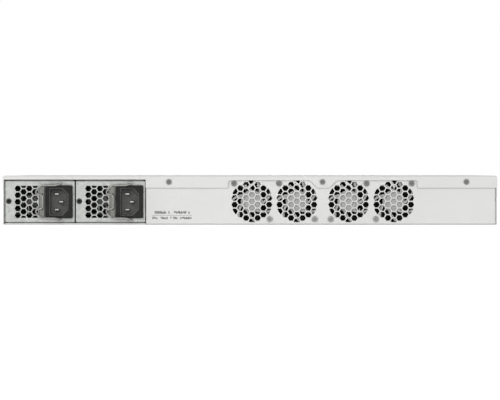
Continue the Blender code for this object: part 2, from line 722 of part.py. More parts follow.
def latch_mesh():
    """Push-in latch bar, kept in by a wider foot behind the end plate."""
    bar_half, foot_half = LATCH_HALF - GAP, LATCH_HALF + 0.0008
    bar = box((LATCH_LOW + GAP, -0.0026, PSU_MID - bar_half), (LATCH_HIGH - GAP, 0.0009, PSU_MID + bar_half))
    foot = box((LATCH_LOW - 0.0006, -0.0030, PSU_MID - foot_half), (LATCH_HIGH + 0.0006, -0.0014, PSU_MID + foot_half))
    pits = bmesh.new()
    for z in (-0.0060, 0.0060):
        add_prism(pits, circle((-0.0021, PSU_MID + z), 0.0007, 8), "Y", 0.0003, 0.0020)
    return combine("latch", bar, ("UNION", foot), ("DIFFERENCE", pits))


def lock_screw_mesh():
    """Countersunk screw with a cross recess, its face level with the end plate."""
    head = bmesh.new()
    add_cone(head, (0, 0), "Y", 0.0013, 0.0024, -0.0012, -0.0002, 12)
    shank = bmesh.new()
    add_cone(shank, (0, 0), "Y", 0.0013, 0.0013, -0.0070, -0.0008, 8)
    cross = bmesh.new()
    add_box(cross, (-0.0014, -0.0009, -0.0004), (0.0014, 0.001, 0.0004))
    add_box(cross, (-0.0004, -0.0009, -0.0014), (0.0004, 0.001, 0.0014))
    return combine("lock_screw", head, ("UNION", shank), ("DIFFERENCE", cross))


CHOKE_Y, CAP_Y, TRAFO_Y = -0.0420, -0.0760, -0.1190
CAP_R = 0.0110


def psu_board_mesh():
    """Circuit board whose narrower contact edge reaches out of the module's inner end."""
    half, edge_half = 0.0285, 0.0170
    start = -PSU_L + 0.001
    outline = [
        (-half, -0.0300),
        (half, -0.0300),
        (half, start),
        (edge_half, start),
        (edge_half, -PSU_L - CARD_EDGE),
        (-edge_half, -PSU_L - CARD_EDGE),
        (-edge_half, start),
        (-half, start),
    ]
    return combine("psu_board", prism(outline, "Z", CARD_Z, CARD_Z + 0.0016))


def transformer_mesh():
    low = CARD_Z + 0.0016 + GAP
    core = box((-0.0150, TRAFO_Y - 0.0170, low), (0.0150, TRAFO_Y + 0.0170, low + 0.0250))
    windows = box((-0.0110, TRAFO_Y - 0.0180, low + 0.0060), (-0.0050, TRAFO_Y + 0.0180, low + 0.0190))
    add_box(windows, (0.0050, TRAFO_Y - 0.0180, low + 0.0060), (0.0110, TRAFO_Y + 0.0180, low + 0.0190))
    winding = box((-0.0120, TRAFO_Y - 0.0130, low + 0.0050), (0.0120, TRAFO_Y + 0.0130, low + 0.0200))
    return combine("transformer", core, ("DIFFERENCE", windows), ("UNION", winding))


def psu_heatsink_mesh():
    """Upright plate with short fins, along the module's side."""
    low = CARD_Z + 0.0016 + GAP
    plate = box((0.0205, -0.1700, low), (0.0230, -0.0700, low + 0.0240))
    fins = bmesh.new()
    for i in range(4):
        z = low + 0.0020 + i * 0.0062
        add_box(fins, (0.0220, -0.1700, z), (0.0275, -0.0700, z + 0.0012))
    return combine("psu_heatsink", plate, ("UNION", fins))


def ring_mesh(name, centre, radius, thickness, depth, sides):
    """A flat ring whose axis is Y."""
    outer = prism(circle((centre[0], centre[2]), radius, sides), "Y", centre[1] - depth / 2, centre[1] + depth / 2)
    hole = circle((centre[0], centre[2]), radius - thickness, sides)
    inner = prism(hole, "Y", centre[1] - depth, centre[1] + depth)
    return combine(name, outer, ("DIFFERENCE", inner))


def power_supplies(finishes):
    low = CARD_Z + 0.0016 + GAP
    case, lid, inlet, latch = psu_case_mesh(), psu_lid_mesh(), inlet_mesh(), latch_mesh()
    lock, board, core, sink = lock_screw_mesh(), psu_board_mesh(), transformer_mesh(), psu_heatsink_mesh()
    bail = tube("bail", bail_route(), BAIL_WIRE, 8)
    choke = ring_mesh("choke", (0.0110, CHOKE_Y, low + 0.0125), 0.0120, 0.0050, 0.0100, 20)
    capacitor = mesh_of("capacitor", prism(circle((-0.0120, CAP_Y), CAP_R, 20), "Z", low, low + 0.0250))
    for number, x in enumerate(PSU_X, 1):
        name = f"psu_{number}"
        module = empty(name, (x, PSU_Y, PSU_Z))
        put(f"{name}_case", case, finishes["plated_steel"], module)
        put(f"{name}_lid", lid, finishes["plated_steel"], module)
        put(f"{name}_inlet", inlet, finishes["black_plastic"], module)
        put(f"{name}_latch", latch, finishes["plated_steel"], module)
        put(f"{name}_lock_screw", lock, finishes["screw_steel"], module, (LOCK_SCREW_X, 0, LOCK_SCREW_Z), True)
        put(f"{name}_board", board, finishes["board_green"], module)
        put(f"{name}_transformer", core, finishes["ferrite"], module)
        put(f"{name}_heatsink", sink, finishes["aluminium"], module)
        put(f"{name}_choke", choke, finishes["ferrite"], module, smooth=True)
        put(f"{name}_capacitor", capacitor, finishes["black_plastic"], module, smooth=True)
        hinge = (BAIL_X, BAIL_Y, PSU_MID)
        put(f"{name}_bail", bail, finishes["bright_wire"], module, hinge, True)


# ---- Boards, heatsinks and ports ---------------------------------------------------------------------------
HEATSINK_LOW = BOARD_TOP + 0.0030


def main_board(finish):
    """L-shaped board that leaves the power supplies' corner free, with its larger chips."""
    front, rear, bay = FRONT_IN + 0.0008, FAN_Y - FAN_DEPTH / 2 - 0.004, CAGE_END - 0.010
    inner = PSU_X[1] - PSU_W / 2 - 0.006
    outline = [(-0.2160, front), (0.2160, front), (0.2160, bay), (inner, bay), (inner, rear), (-0.2160, rear)]
    chips = bmesh.new()
    for x, y, half, high in (
        (-0.0700, -0.0450, 0.0175, 0.0025),
        (0.0300, -0.0300, 0.0120, 0.0025),
        (0.0300, 0.0150, 0.0070, 0.0012),
        (0.0480, 0.0150, 0.0070, 0.0012),
        (-0.1500, 0.0300, 0.0100, 0.0090),
        (-0.1500, 0.0600, 0.0060, 0.0060),
    ):
        add_box(chips, (x - half, y - half, BOARD_TOP - 0.0008), (x + half, y + half, BOARD_TOP + high))
    for x in FAN_X:
        y = FAN_Y - 0.0260
        add_box(chips, (x - 0.005, y - 0.0045, BOARD_TOP - 0.0008), (x + 0.005, y - 0.0012, BOARD_TOP + 0.006))
    base = prism(outline, "Z", BOARD_LOW, BOARD_TOP)
    put("main_board", combine("main_board", base, ("UNION", chips)), finish)


def finned_sink(name, x, y, half, fins, top, finish):
    """Base plate under straight fins that run with the air, front to rear."""
    base = box((x - half, y - half, HEATSINK_LOW), (x + half, y + half, HEATSINK_LOW + 0.004))
    blades = bmesh.new()
    thick = 0.0012
    for i in range(fins):
        fx = x - half + i * (2 * half - thick) / (fins - 1)
        add_box(blades, (fx, y - half, HEATSINK_LOW + 0.002), (fx + thick, y + half, top))
    put(name, combine(name, base, ("UNION", blades)), finish)


def power_backplane(finish):
    """Upright board at the end of the bay, with a slotted receptacle for each power supply."""
    card_low = PSU_Z + CARD_Z
    card_end = PSU_Y - PSU_L - CARD_EDGE
    face = card_end - 0.0010
    board = box((PSU_X[1] - 0.030, CAGE_END - 0.0060, 0.0075), (PSU_X[0] + 0.029, CAGE_END - 0.0044, 0.036))
    sockets, slots = bmesh.new(), bmesh.new()
    for x in PSU_X:
        add_box(sockets, (x - 0.022, CAGE_END - 0.0050, card_low - 0.0035), (x + 0.022, face + 0.0070, card_low + 0.0051))
        add_box(slots, (x - 0.0175, face, card_low - 0.0004), (x + 0.0175, face + 0.0200, card_low + 0.0020))
    put("power_backplane", combine("power_backplane", board, ("UNION", sockets), ("DIFFERENCE", slots)), finish)


def jack_outline(x, middle, up):
    """A modular jack's mouth, with its stepped latch notch above (up = 1) or below (up = -1)."""
    half, main, step_1, step_2 = 0.0059, 0.0069, 0.0015, 0.0010
    near = middle + up * 0.0025
    far = near + up * main
    return [
        (x - half, near),
        (x + half, near),
        (x + half, far),
        (x + 0.0031, far),
        (x + 0.0031, far + up * step_1),
        (x + 0.0017, far + up * step_1),
        (x + 0.0017, far + up * (step_1 + step_2)),
        (x - 0.0017, far + up * (step_1 + step_2)),
        (x - 0.0017, far + up * step_1),
        (x - 0.0031, far + up * step_1),
        (x - 0.0031, far),
        (x - half, far),
    ]


def jack_block(name, x, columns, finish):
    """Modular jacks stacked two high."""
    face = FRONT_Y + PORT_SET_BACK
    half = columns * JACK_PITCH / 2 + 0.001
    block = box((x - half, face, PORT_LOW), (x + half, face + JACK_DEPTH, PORT_HIGH))
    mouths = bmesh.new()
    for column in range(columns):
        centre = x + (column - (columns - 1) / 2) * JACK_PITCH
        for up in (-1, 1):
            add_prism(mouths, jack_outline(centre, PORT_MID, up), "Y", face - 0.001, face + 0.0140)
    put(name, combine(name, block, ("DIFFERENCE", mouths)), finish)


def cage_half_width(columns, slot):
    return (columns * slot + (columns + 1) * CAGE_WALL) / 2


def module_cage(name, x, columns, slot, finish):
    """Metal cage for plug-in transceivers, stacked two high."""
    face = FRONT_Y + PORT_SET_BACK
    half = cage_half_width(columns, slot)
    block = box((x - half, face, PORT_LOW), (x + half, face + CAGE_DEPTH, PORT_HIGH - 0.0010))
    bays = bmesh.new()
    for column in range(columns):
        centre = x + (column - (columns - 1) / 2) * (slot + CAGE_WALL)
        for up in (-1, 1):
            middle = PORT_MID - 0.0005 + up * CAGE_ROW
            add_box(
                bays,
                (centre - slot / 2, face - 0.001, middle - CAGE_SLOT_H / 2),
                (centre + slot / 2, face + CAGE_DEPTH - 0.002, middle + CAGE_SLOT_H / 2),
            )
    gap = box((x - half + 0.001, face + 0.004, PORT_MID - 0.0015), (x + half - 0.001, face + CAGE_DEPTH + 0.001, PORT_MID + 0.0005))
    put(name, combine(name, block, ("DIFFERENCE", bays), ("DIFFERENCE", gap)), finish)


def reset_button(finish):
    """Recessed push button behind its hole in the front panel."""
    head = bmesh.new()
    add_cone(head, (RESET_X, RESET_Z), "Y", 0.0012, 0.0012, FRONT_Y + 0.0003, FRONT_IN + 0.0040, 12)
    foot = bmesh.new()
    add_cone(foot, (RESET_X, RESET_Z), "Y", 0.0022, 0.0022, FRONT_IN + 0.0006, FRONT_IN + 0.0030, 12)
    put("reset_button", combine("reset_button", head, ("UNION", foot)), finish, smooth=True)


def main():
    for old in list(bpy.data.objects):
        bpy.data.objects.remove(old)
    finishes = make_materials()
    base_tray(finishes["white_paint"])
    top_cover(finishes["white_paint"])
    rear_panel(finishes["white_paint"])
    front_panel(finishes["white_paint"])
    psu_cage(finishes["plated_steel"])
    screws(finishes["screw_steel"])
    fans(finishes)
    power_supplies(finishes)
    main_board(finishes["board_green"])
    finned_sink("switch_heatsink", -0.0700, -0.0450, 0.0300, 15, 0.0340, finishes["aluminium"])
    finned_sink("cpu_heatsink", 0.0300, -0.0300, 0.0180, 10, 0.0280, finishes["aluminium"])
    power_backplane(finishes["black_plastic"])
    for name, (x, columns) in JACK_X.items():
        jack_block(name, x, columns, finishes["black_plastic"])
    for name, (x, columns, slot) in CAGE_X.items():
        module_cage(name, x, columns, slot, finishes["plated_steel"])
    reset_button(finishes["black_plastic"])


main()
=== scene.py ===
"""Looks for the rackmount network switch: finer pieces, materials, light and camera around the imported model."""

import math
import random

import bmesh
import bpy
from mathutils import Matrix, Vector


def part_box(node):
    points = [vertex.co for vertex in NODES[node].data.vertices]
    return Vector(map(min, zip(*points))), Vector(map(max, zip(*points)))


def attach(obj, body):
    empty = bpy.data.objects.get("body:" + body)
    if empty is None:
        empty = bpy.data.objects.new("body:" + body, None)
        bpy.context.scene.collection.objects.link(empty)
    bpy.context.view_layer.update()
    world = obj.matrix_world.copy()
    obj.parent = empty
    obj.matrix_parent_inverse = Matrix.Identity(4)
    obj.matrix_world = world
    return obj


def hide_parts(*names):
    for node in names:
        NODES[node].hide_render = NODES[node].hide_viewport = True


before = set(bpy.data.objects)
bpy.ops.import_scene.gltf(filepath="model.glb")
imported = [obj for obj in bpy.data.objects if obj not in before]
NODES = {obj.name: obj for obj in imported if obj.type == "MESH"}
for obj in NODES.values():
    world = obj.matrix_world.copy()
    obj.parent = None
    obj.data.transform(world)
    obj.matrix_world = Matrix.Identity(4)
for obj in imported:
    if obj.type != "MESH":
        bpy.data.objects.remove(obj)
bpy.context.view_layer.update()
scene = bpy.context.scene


# ---- Places read from the frame
def low(node):
    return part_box(node)[0]


def high(node):
    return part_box(node)[1]


def middle(node):
    one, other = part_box(node)
    return (Vector(one) + Vector(other)) / 2


FANS = (1, 2, 3, 4)
SUPPLIES = (1, 2)
FRONT_Y = low("front_panel").y
REAR_Y = high("top_cover").y
HALF = high("top_cover").x
HEIGHT = high("top_cover").z
SHEET = 0.001
PANEL_OUT = high("rear_panel").y
PANEL_IN = low("rear_panel").y
FAN_MIDDLE = {n: middle(f"fan_{n}_frame") for n in FANS}
FAN_HOLE = 0.0160
FAN_DEPTH = high("fan_1_frame").y - low("fan_1_frame").y
FAN_HALF = (high("fan_1_frame").x - low("fan_1_frame").x) / 2
HUB_REAR = FAN_DEPTH / 2 - 0.0020
HUB_R = 0.0099
DUCT_R = 0.0188
HEX_PITCH = 0.00595
HEX_STEP = HEX_PITCH * math.sqrt(3) / 2
HEX_FLATS = 0.0050
GRILLE_R = 0.0187
EARS = 0.0048
# Each module's origin: the middle of its end plate's lower edge.
MODULE = {
    n: Vector((middle(f"psu_{n}_case").x, high(f"psu_{n}_case").y - EARS, low(f"psu_{n}_case").z)) for n in SUPPLIES
}
PSU_W = high("psu_1_case").x - low("psu_1_case").x
PSU_H = high("psu_1_case").z - low("psu_1_case").z
PSU_MID = middle("psu_1_inlet").z - MODULE[1].z


# ---- Mesh helpers
def put(name, data, at=(0, 0, 0)):
    made = bpy.data.objects.new(name, data)
    scene.collection.objects.link(made)
    made.location = at
    return made


def add_box(bm, a, b):
    a, b = Vector(a), Vector(b)
    place = Matrix.Translation((a + b) / 2) @ Matrix.Diagonal((*(b - a), 1.0))
    bmesh.ops.create_cube(bm, size=1.0, matrix=place)


def box(a, b):
    bm = bmesh.new()
    add_box(bm, a, b)
    return bm


def skin(bm, rings, closed=True):
    faces = [bm.faces.new(rings[0]), bm.faces.new(rings[-1])] if closed else []
    for one, other in zip(rings, rings[1:]):
        faces += [bm.faces.new((one[i - 1], one[i], other[i], other[i - 1])) for i in range(len(one))]
    bmesh.ops.recalc_face_normals(bm, faces=faces)


AXIS_ORDER = {"X": (1, 2, 0), "Y": (0, 2, 1), "Z": (0, 1, 2)}


def add_loft(bm, rings, axis="Y", closed=True):
    """Skins a row of (outline, level) rings, capped at both ends. All outlines have the same number of points."""
    first, second, along = AXIS_ORDER[axis]
    made = []
    for outline, level in rings:
        ring = []
        for point in outline:
            co = [0.0, 0.0, 0.0]
            co[first], co[second], co[along] = point[0], point[1], level
            ring.append(bm.verts.new(co))
        made.append(ring)
    skin(bm, made, closed)


def loft(*rings, axis="Y"):
    bm = bmesh.new()
    add_loft(bm, rings, axis)
    return bm


def add_hoop(bm, outer, inner, near, far):
    """A flat ring between two outlines and two levels."""
    add_loft(bm, ((outer, near), (outer, far), (inner, far), (inner, near), (outer, near)), closed=False)
    bmesh.ops.remove_doubles(bm, verts=bm.verts, dist=1e-7)


def add_prism(bm, outline, axis, start, end):
    add_loft(bm, ((outline, start), (outline, end)), axis)


def prism(outline, axis, start, end):
    bm = bmesh.new()
    add_prism(bm, outline, axis, start, end)
    return bm


def rectangle(x, z, half_w, half_h):
    return [(x - half_w, z - half_h), (x + half_w, z - half_h), (x + half_w, z + half_h), (x - half_w, z + half_h)]


def circle(centre, radius, sides):
    turns = [math.tau * i / sides for i in range(sides)]
    return [(centre[0] + radius * math.cos(a), centre[1] + radius * math.sin(a)) for a in turns]


def add_turned(bm, profile, sides, centre=(0, 0), axis="Y"):
    """Turns a row of (radius, level) points about an axis through the centre, with flat ends."""
    add_loft(bm, [(circle(centre, r, sides), level) for r, level in profile], axis)


def turned(profile, sides, centre=(0, 0), axis="Y"):
    bm = bmesh.new()
    add_turned(bm, profile, sides, centre, axis)
    return bm


def rounded_box(x, z, half_w, half_h, radius, steps=5):
    points = []
    for sx, sz, start in ((1, 1, 0), (-1, 1, 90), (-1, -1, 180), (1, -1, 270)):
        for i in range(steps + 1):
            a = math.radians(start + 90 * i / steps)
            cx, cz = x + sx * (half_w - radius), z + sz * (half_h - radius)
            points.append((cx + radius * math.cos(a), cz + radius * math.sin(a)))
    return points


def clip_to_circle(outline, centre, radius):
    """The part of a convex outline that lies inside a circle."""
    for i in range(72):
        a = math.radians(5 * (i + 0.5))
        n = Vector((math.cos(a), math.sin(a)))
        kept = []
        for j, p in enumerate(outline):
            q = outline[j - 1]
            dp = (Vector(p) - Vector(centre)).dot(n) - radius
            dq = (Vector(q) - Vector(centre)).dot(n) - radius
            if (dp > 0) != (dq > 0):
                t = dq / (dq - dp)
                kept.append((q[0] + (p[0] - q[0]) * t, q[1] + (p[1] - q[1]) * t))
            if dp <= 0:
                kept.append(p)
        outline = kept
    return outline


def mesh_of(name, bm):
    mesh = bpy.data.meshes.new(name)
    bm.to_mesh(mesh)
    bm.free()
    return mesh


ADD, CUT = "UNION", "DIFFERENCE"


def combine(name, base, *steps):
    """The mesh of a base shape after a row of (ADD or CUT, bm) steps."""
    subject = put(name, mesh_of(name, base))
    helpers = []
    for number, (operation, bm) in enumerate(steps):
        helper = put(f"{name}_{number}", mesh_of(f"{name}_{number}", bm))
        helpers.append(helper)
        modifier = subject.modifiers.new(f"step_{number}", "BOOLEAN")
        modifier.operation, modifier.solver, modifier.use_self, modifier.object = operation, "EXACT", True, helper
    bpy.context.view_layer.update()
    made = bpy.data.meshes.new_from_object(subject.evaluated_get(bpy.context.evaluated_depsgraph_get()))
    for helper in (subject, *helpers):
        old = helper.data
        bpy.data.objects.remove(helper)
        bpy.data.meshes.remove(old)
    made.name = name
    return made


def tube_into(bm, route, radius, sides=10):
    route = [Vector(p) for p in route]
    heading = (route[1] - route[0]).normalized()
    side = heading.orthogonal().normalized()
    rings = []
    for i, point in enumerate(route):
        onward = (route[min(i + 1, len(route) - 1)] - route[max(i - 1, 0)]).normalized()
        side = heading.rotation_difference(onward) @ side
        heading = onward
        across = heading.cross(side)
        around = circle((0, 0), radius, sides)
        rings.append([bm.verts.new(point + side * u + across * v) for u, v in around])
    skin(bm, rings)


def corner_arc(before, corner, after, radius, steps):
    """The points of a rounded corner, with a smaller radius where its sides are short."""
    into, out = (before - corner).normalized(), (after - corner).normalized()
    half = into.angle(out) / 2
    reach = min(radius / math.tan(half), 0.46 * (before - corner).length, 0.46 * (after - corner).length)
    bend = reach * math.tan(half)
    centre = corner + (into + out).normalized() * (bend / math.sin(half))
    start, end = (corner + into * reach - centre).normalized(), (corner + out * reach - centre).normalized()
    return [centre + bend * start.slerp(end, i / steps) for i in range(steps + 1)]


def rounded_route(points, radius, steps):
    points = [Vector(p) for p in points]
    path = [points[0]]
    for before, corner, after in zip(points, points[1:], points[2:]):
        path += corner_arc(before, corner, after, radius, steps)
    return path + [points[-1]]


def smooth_route(points, spacing):
    points = [Vector(p) for p in points]
    ends = [2 * points[0] - points[1], *points, 2 * points[-1] - points[-2]]
    route = [points[0]]
    for a, b, c, d in zip(ends, ends[1:], ends[2:], ends[3:]):
        steps = max(1, round((c - b).length / spacing))
        for i in range(1, steps + 1):
            t = i / steps
            curve, twist = 2 * a - 5 * b + 4 * c - d, 3 * b - a - 3 * c + d
            route.append(0.5 * (2 * b + (c - a) * t + curve * t**2 + twist * t**3))
    return route


# ---- Materials
def shade(tone, share, more=0.0):
    return tuple(min(1, c * share + more) for c in tone)


class Maker:
    """Builds one node material, in object coordinates, which are metres."""

    def __init__(self, name, roughness, metallic=0.0, bevel=0.0, specular=0.5):
        self.material = bpy.data.materials.new(name)
        self.material.use_nodes = True
        self.tree = self.material.node_tree
        self.shader = self.tree.nodes["Principled BSDF"]
        for socket, value in (("Metallic", metallic), ("Specular IOR Level", specular), ("Roughness", roughness)):
            self.feed(self.shader.inputs[socket], value)
        self.where = self.node("TexCoord").outputs["Object"]
        self.normal = None
        if bevel:
            node = self.node("Bevel", Radius=bevel)
            node.samples = 4
            self.normal = node.outputs["Normal"]

    def feed(self, socket, value):
        """Sets a socket to a number, a scale or a colour, or links a node's output to it."""
        if isinstance(value, (int, float)):
            socket.default_value = value
        elif isinstance(value, tuple):
            socket.default_value = (*value, 1) if len(socket.default_value) == 4 else value
        else:
            self.tree.links.new(value, socket)

    def node(self, kind, **inputs):
        made = self.tree.nodes.new(f"ShaderNode{kind}")
        for name, value in inputs.items():
            self.feed(made.inputs[name.replace("_", " ")], value)
        return made

    def placed(self, stretch):
        if not stretch:
            return self.where
        return self.node("Mapping", Vector=self.where, Scale=stretch).outputs["Vector"]

    def noise(self, scale, detail=3.0, rough=0.55, stretch=None):
        where = self.placed(stretch)
        return self.node("TexNoise", Scale=scale, Detail=detail, Roughness=rough, Vector=where).outputs["Fac"]

    def cells(self, scale, output="Color", stretch=None):
        return self.node("TexVoronoi", Scale=scale, Vector=self.placed(stretch)).outputs[output]

    def wave(self, scale, direction, distortion):
        node = self.node("TexWave", Scale=scale, Distortion=distortion, Vector=self.where)
        node.bands_direction = direction
        return node.outputs["Fac"]

    def spread(self, value, from_low, from_high, to_low, to_high):
        node = self.node("MapRange", Value=value, From_Min=from_low, From_Max=from_high, To_Min=to_low, To_Max=to_high)
        return node.outputs["Result"]

    def split(self, colour):
        return self.node("SeparateColor", Color=colour).outputs

    def math(self, operation, a, b):
        node = self.node("Math")
        node.operation = operation
        self.feed(node.inputs[0], a)
        self.feed(node.inputs[1], b)
        return node.outputs["Value"]

    def ramp(self, value, *stops):
        node = self.node("ValToRGB", Fac=value)
        ramp = node.color_ramp
        for element, (position, colour) in zip(ramp.elements, (stops[0], stops[-1])):
            element.position, element.color = position, (*colour, 1)
        for position, colour in stops[1:-1]:
            ramp.elements.new(position).color = (*colour, 1)
        return node.outputs["Color"]

    def mix(self, share, a, b, how="MIX"):
        node = self.node("Mix")
        node.data_type, node.blend_type = "RGBA", how
        for number, value in ((0, share), (6, a), (7, b)):
            self.feed(node.inputs[number], value)
        return node.outputs[2]

    def crevice(self, reach, colour, amount):
        """Painted shade: darkens a colour in tight inner corners and seams, where less light falls, from an ambient
        occlusion node.
        """
        node = self.node("AmbientOcclusion", Distance=reach)
        node.samples = 4
        grey = self.spread(node.outputs["AO"], 0.35, 1.0, 1.0 - amount, 1.0)
        grey = self.node("CombineColor", Red=grey, Green=grey, Blue=grey).outputs["Color"]
        return self.mix(1.0, colour, grey, "MULTIPLY")

    def bump(self, height, strength, distance):
        node = self.node("Bump", Strength=strength, Distance=distance, Height=height)
        if self.normal:
            self.feed(node.inputs["Normal"], self.normal)
        self.normal = node.outputs["Normal"]

    def done(self, colour, roughness=None):
        for socket, value in (("Base Color", colour), ("Roughness", roughness), ("Normal", self.normal)):
            if value is not None:
                self.feed(self.shader.inputs[socket], value)
        return self.material


def paint(name, tone):
    """Satin powder coat: fine orange peel, cloudy tone and slightly uneven gloss."""
    m = Maker(name, 0.45, bevel=0.00025, specular=0.45)
    colour = m.ramp(m.noise(9, 4), (0.3, shade(tone, 0.965)), (0.7, shade(tone, 1.02)))
    colour = m.mix(m.spread(m.noise(2600, 2, 0.7), 0.35, 0.7, 0.0, 0.10), colour, shade(tone, 0.8))
    # Painted shade in seams, under the lip's edge and round screws, multiplied into the paint colour.
    colour = m.crevice(0.0018, colour, 0.50)
    m.bump(m.noise(1500, 2, 0.5), 0.35, 0.00006)
    m.bump(m.noise(420, 1, 0.4), 0.22, 0.00010)
    return m.done(colour, m.spread(m.noise(60, 3), 0.3, 0.7, 0.40, 0.52))


def galvanised(name, tone, spangle=330):
    """Zinc-plated sheet: faint crystals, cloudy patches and fine rolling grain."""
    m = Maker(name, 0.4, metallic=0.85, bevel=0.0002)
    crystal = m.split(m.cells(spangle))
    one, two = crystal["Red"], crystal["Green"]
    cloud = m.noise(70, 4, 0.6)
    grain = m.noise(1700, 3, 0.7, stretch=(1, 1, 0.35))
    rest = m.math("ADD", m.math("MULTIPLY", cloud, 0.34), m.math("MULTIPLY", grain, 0.30))
    value = m.math("ADD", m.math("MULTIPLY", one, 0.42), rest)
    colour = m.ramp(value, (0.25, shade(tone, 0.80)), (0.53, tone), (0.85, shade(tone, 1.13)))
    # Painted shade beside raised parts, such as the strip next to the inlet's flange, multiplied into the zinc colour.
    colour = m.crevice(0.0040, colour, 0.55)
    m.bump(grain, 0.25, 0.00004)
    m.bump(two, 0.12, 0.00005)
    return m.done(colour, m.spread(m.math("ADD", two, grain), 0.4, 1.6, 0.32, 0.52))


def brushed(name, tone, rough, along=(1, 1, 1), metallic=0.95, scale=1500):
    """Bare metal with drawn or rolled lines along one axis."""
    m = Maker(name, rough, metallic=metallic, bevel=0.0001)
    lines = m.noise(scale, 4, 0.6, stretch=along)
    colour = m.mix(m.spread(m.noise(120, 3), 0.3, 0.7, 0, 1), shade(tone, 0.88), shade(tone, 1.07))
    colour = m.mix(m.spread(lines, 0.35, 0.65, 0, 0.35), colour, shade(tone, 0.72))
    m.bump(lines, 0.2, 0.00003)
    return m.done(colour, m.spread(lines, 0.3, 0.7, rough - 0.07, rough + 0.10))


def moulded(name, tone, rough=0.45, specular=0.5):
    """Injection-moulded plastic with a spark-eroded texture."""
    m = Maker(name, rough, bevel=0.00018, specular=specular)
    fine, wide = m.noise(2200, 3, 0.6), m.noise(140, 3)
    colour = m.mix(m.spread(wide, 0.3, 0.7, 0, 1), shade(tone, 0.86), shade(tone, 1.22, 0.002))
    colour = m.mix(m.spread(fine, 0.45, 0.8, 0, 0.25), colour, shade(tone, 1.5, 0.01))
    m.bump(fine, 0.35, 0.00004)
    return m.done(colour, m.spread(m.noise(300, 2), 0.3, 0.7, rough - 0.06, rough + 0.08))


def circuit_board(name, tone):
    """Solder mask over copper tracks, with rows of small pads."""
    m = Maker(name, 0.34, bevel=0.0001)
    block = m.split(m.cells(260, stretch=(1, 1, 0.01)))
    pick = m.math("GREATER_THAN", block["Red"], 0.5)
    along, across = m.wave(420, "X", 0.6), m.wave(420, "Y", 0.6)
    unpicked = m.math("MULTIPLY", m.math("SUBTRACT", 1.0, pick), across)
    track = m.spread(m.math("ADD", m.math("MULTIPLY", pick, along), unpicked), 0.55, 0.7, 0, 1)
    colour = m.mix(track, tone, shade(tone, 1.8, 0.01))
    pads = m.spread(m.cells(520, "Distance"), 0.12, 0.16, 1, 0)
    chosen = m.math("MULTIPLY", pads, m.math("GREATER_THAN", block["Blue"], 0.6))
    m.bump(track, 0.4, 0.00004)
    return m.done(m.mix(chosen, colour, (0.62, 0.58, 0.45)))


def plain(name, tone, rough, metallic=0.0, bumps=1800, amount=0.15, depth=0.00003):
    m = Maker(name, rough, metallic=metallic)
    fleck = m.noise(bumps, 3, 0.6)
    colour = m.mix(m.spread(fleck, 0.3, 0.7, 0, 1), shade(tone, 1 - amount), shade(tone, 1 + amount))
    m.bump(fleck, 0.25, depth)
    return m.done(colour, m.spread(m.noise(200, 2), 0.3, 0.7, max(0.05, rough - 0.05), rough + 0.06))


PAINT = paint("white_powder_coat", (0.765, 0.765, 0.752))
ZINC = galvanised("zinc_plated_sheet", (0.505, 0.52, 0.495))
# A darker copy of the zinc sheet for the cage inside the chassis: painted shade.
ZINC_SHADED_INNER = galvanised("zinc_inner_painted_shade", (0.17, 0.175, 0.17), 240)
LATCH = brushed("latch_bar_steel", (0.25, 0.25, 0.23), 0.42, along=(1, 1, 0.05), metallic=0.75, scale=900)
WIRE = brushed("bail_wire_plated", (0.36, 0.36, 0.345), 0.26, along=(0.1, 1, 0.1), metallic=1.0)
SCREW = brushed("screw_nickel", (0.385, 0.385, 0.375), 0.42, metallic=0.85, scale=2400)
# A darker copy of the screw finish, used on the upper fan screws and the cover screws.
SCREW_DARKER_COPY = brushed("screw_darker_copy", (0.265, 0.265, 0.26), 0.45, metallic=0.85, scale=2400)
GASKET = moulded("sealing_strip", (0.22, 0.22, 0.215), 0.7)
# Dark cup washer finish, which also paints the shade in the countersink round the lock screw.
CUP_SHADE = brushed("cup_washer_painted_shade", (0.11, 0.11, 0.105), 0.45, metallic=0.3, scale=2400)
BLACKENED = brushed("screw_black_oxide", (0.022, 0.022, 0.022), 0.40, metallic=0.5, scale=2400)
INLET = moulded("inlet_moulding", (0.012, 0.012, 0.0115), 0.55, specular=0.25)
INSERT = moulded("inlet_insert_moulding", (0.120, 0.120, 0.118), 0.55, specular=0.4)
CAPACITOR = plain("capacitor_box", (0.066, 0.066, 0.062), 0.5, bumps=600, amount=0.5)
MAINS_LEAD = plain("mains_lead_insulation", (0.10, 0.10, 0.10), 0.45, amount=0.1)
BLACK = moulded("black_moulding", (0.016, 0.016, 0.017), 0.45)
ROTOR = moulded("rotor_moulding", (0.012, 0.012, 0.013), 0.40)
FAN_GREY = moulded("fan_moulding", (0.47, 0.47, 0.46), 0.5)
LABEL = plain("hub_label_film", (0.46, 0.46, 0.45), 0.4, amount=0.03)
RING = plain("hub_label_print", (0.34, 0.34, 0.34), 0.45, amount=0.05)
LEAD = plain("lead_insulation", (0.92, 0.92, 0.90), 0.42, amount=0.03)
PRINT = plain("panel_print", (0.075, 0.075, 0.075), 0.5, amount=0.1)
TIN = brushed("tinned_blade", (0.62, 0.62, 0.60), 0.30, along=(1, 0.1, 1), metallic=1.0)
GOLD = brushed("gold_contact", (0.95, 0.66, 0.26), 0.22, along=(1, 0.1, 1), metallic=1.0)
COPPER = plain("enamelled_wire", (0.045, 0.030, 0.022), 0.30, metallic=0.5, amount=0.2)
TAPE = plain("core_coating", (0.035, 0.040, 0.036), 0.40, amount=0.2)
FERRITE = plain("ferrite_core", (0.05, 0.048, 0.046), 0.6, amount=0.25, depth=0.00008)
ANODISED = brushed("dark_anodised_fin", (0.10, 0.10, 0.105), 0.40, along=(1, 0.04, 1), metallic=0.8)
ALUMINIUM = brushed("extruded_aluminium", (0.72, 0.73, 0.74), 0.34, along=(1, 0.04, 1), metallic=1.0)
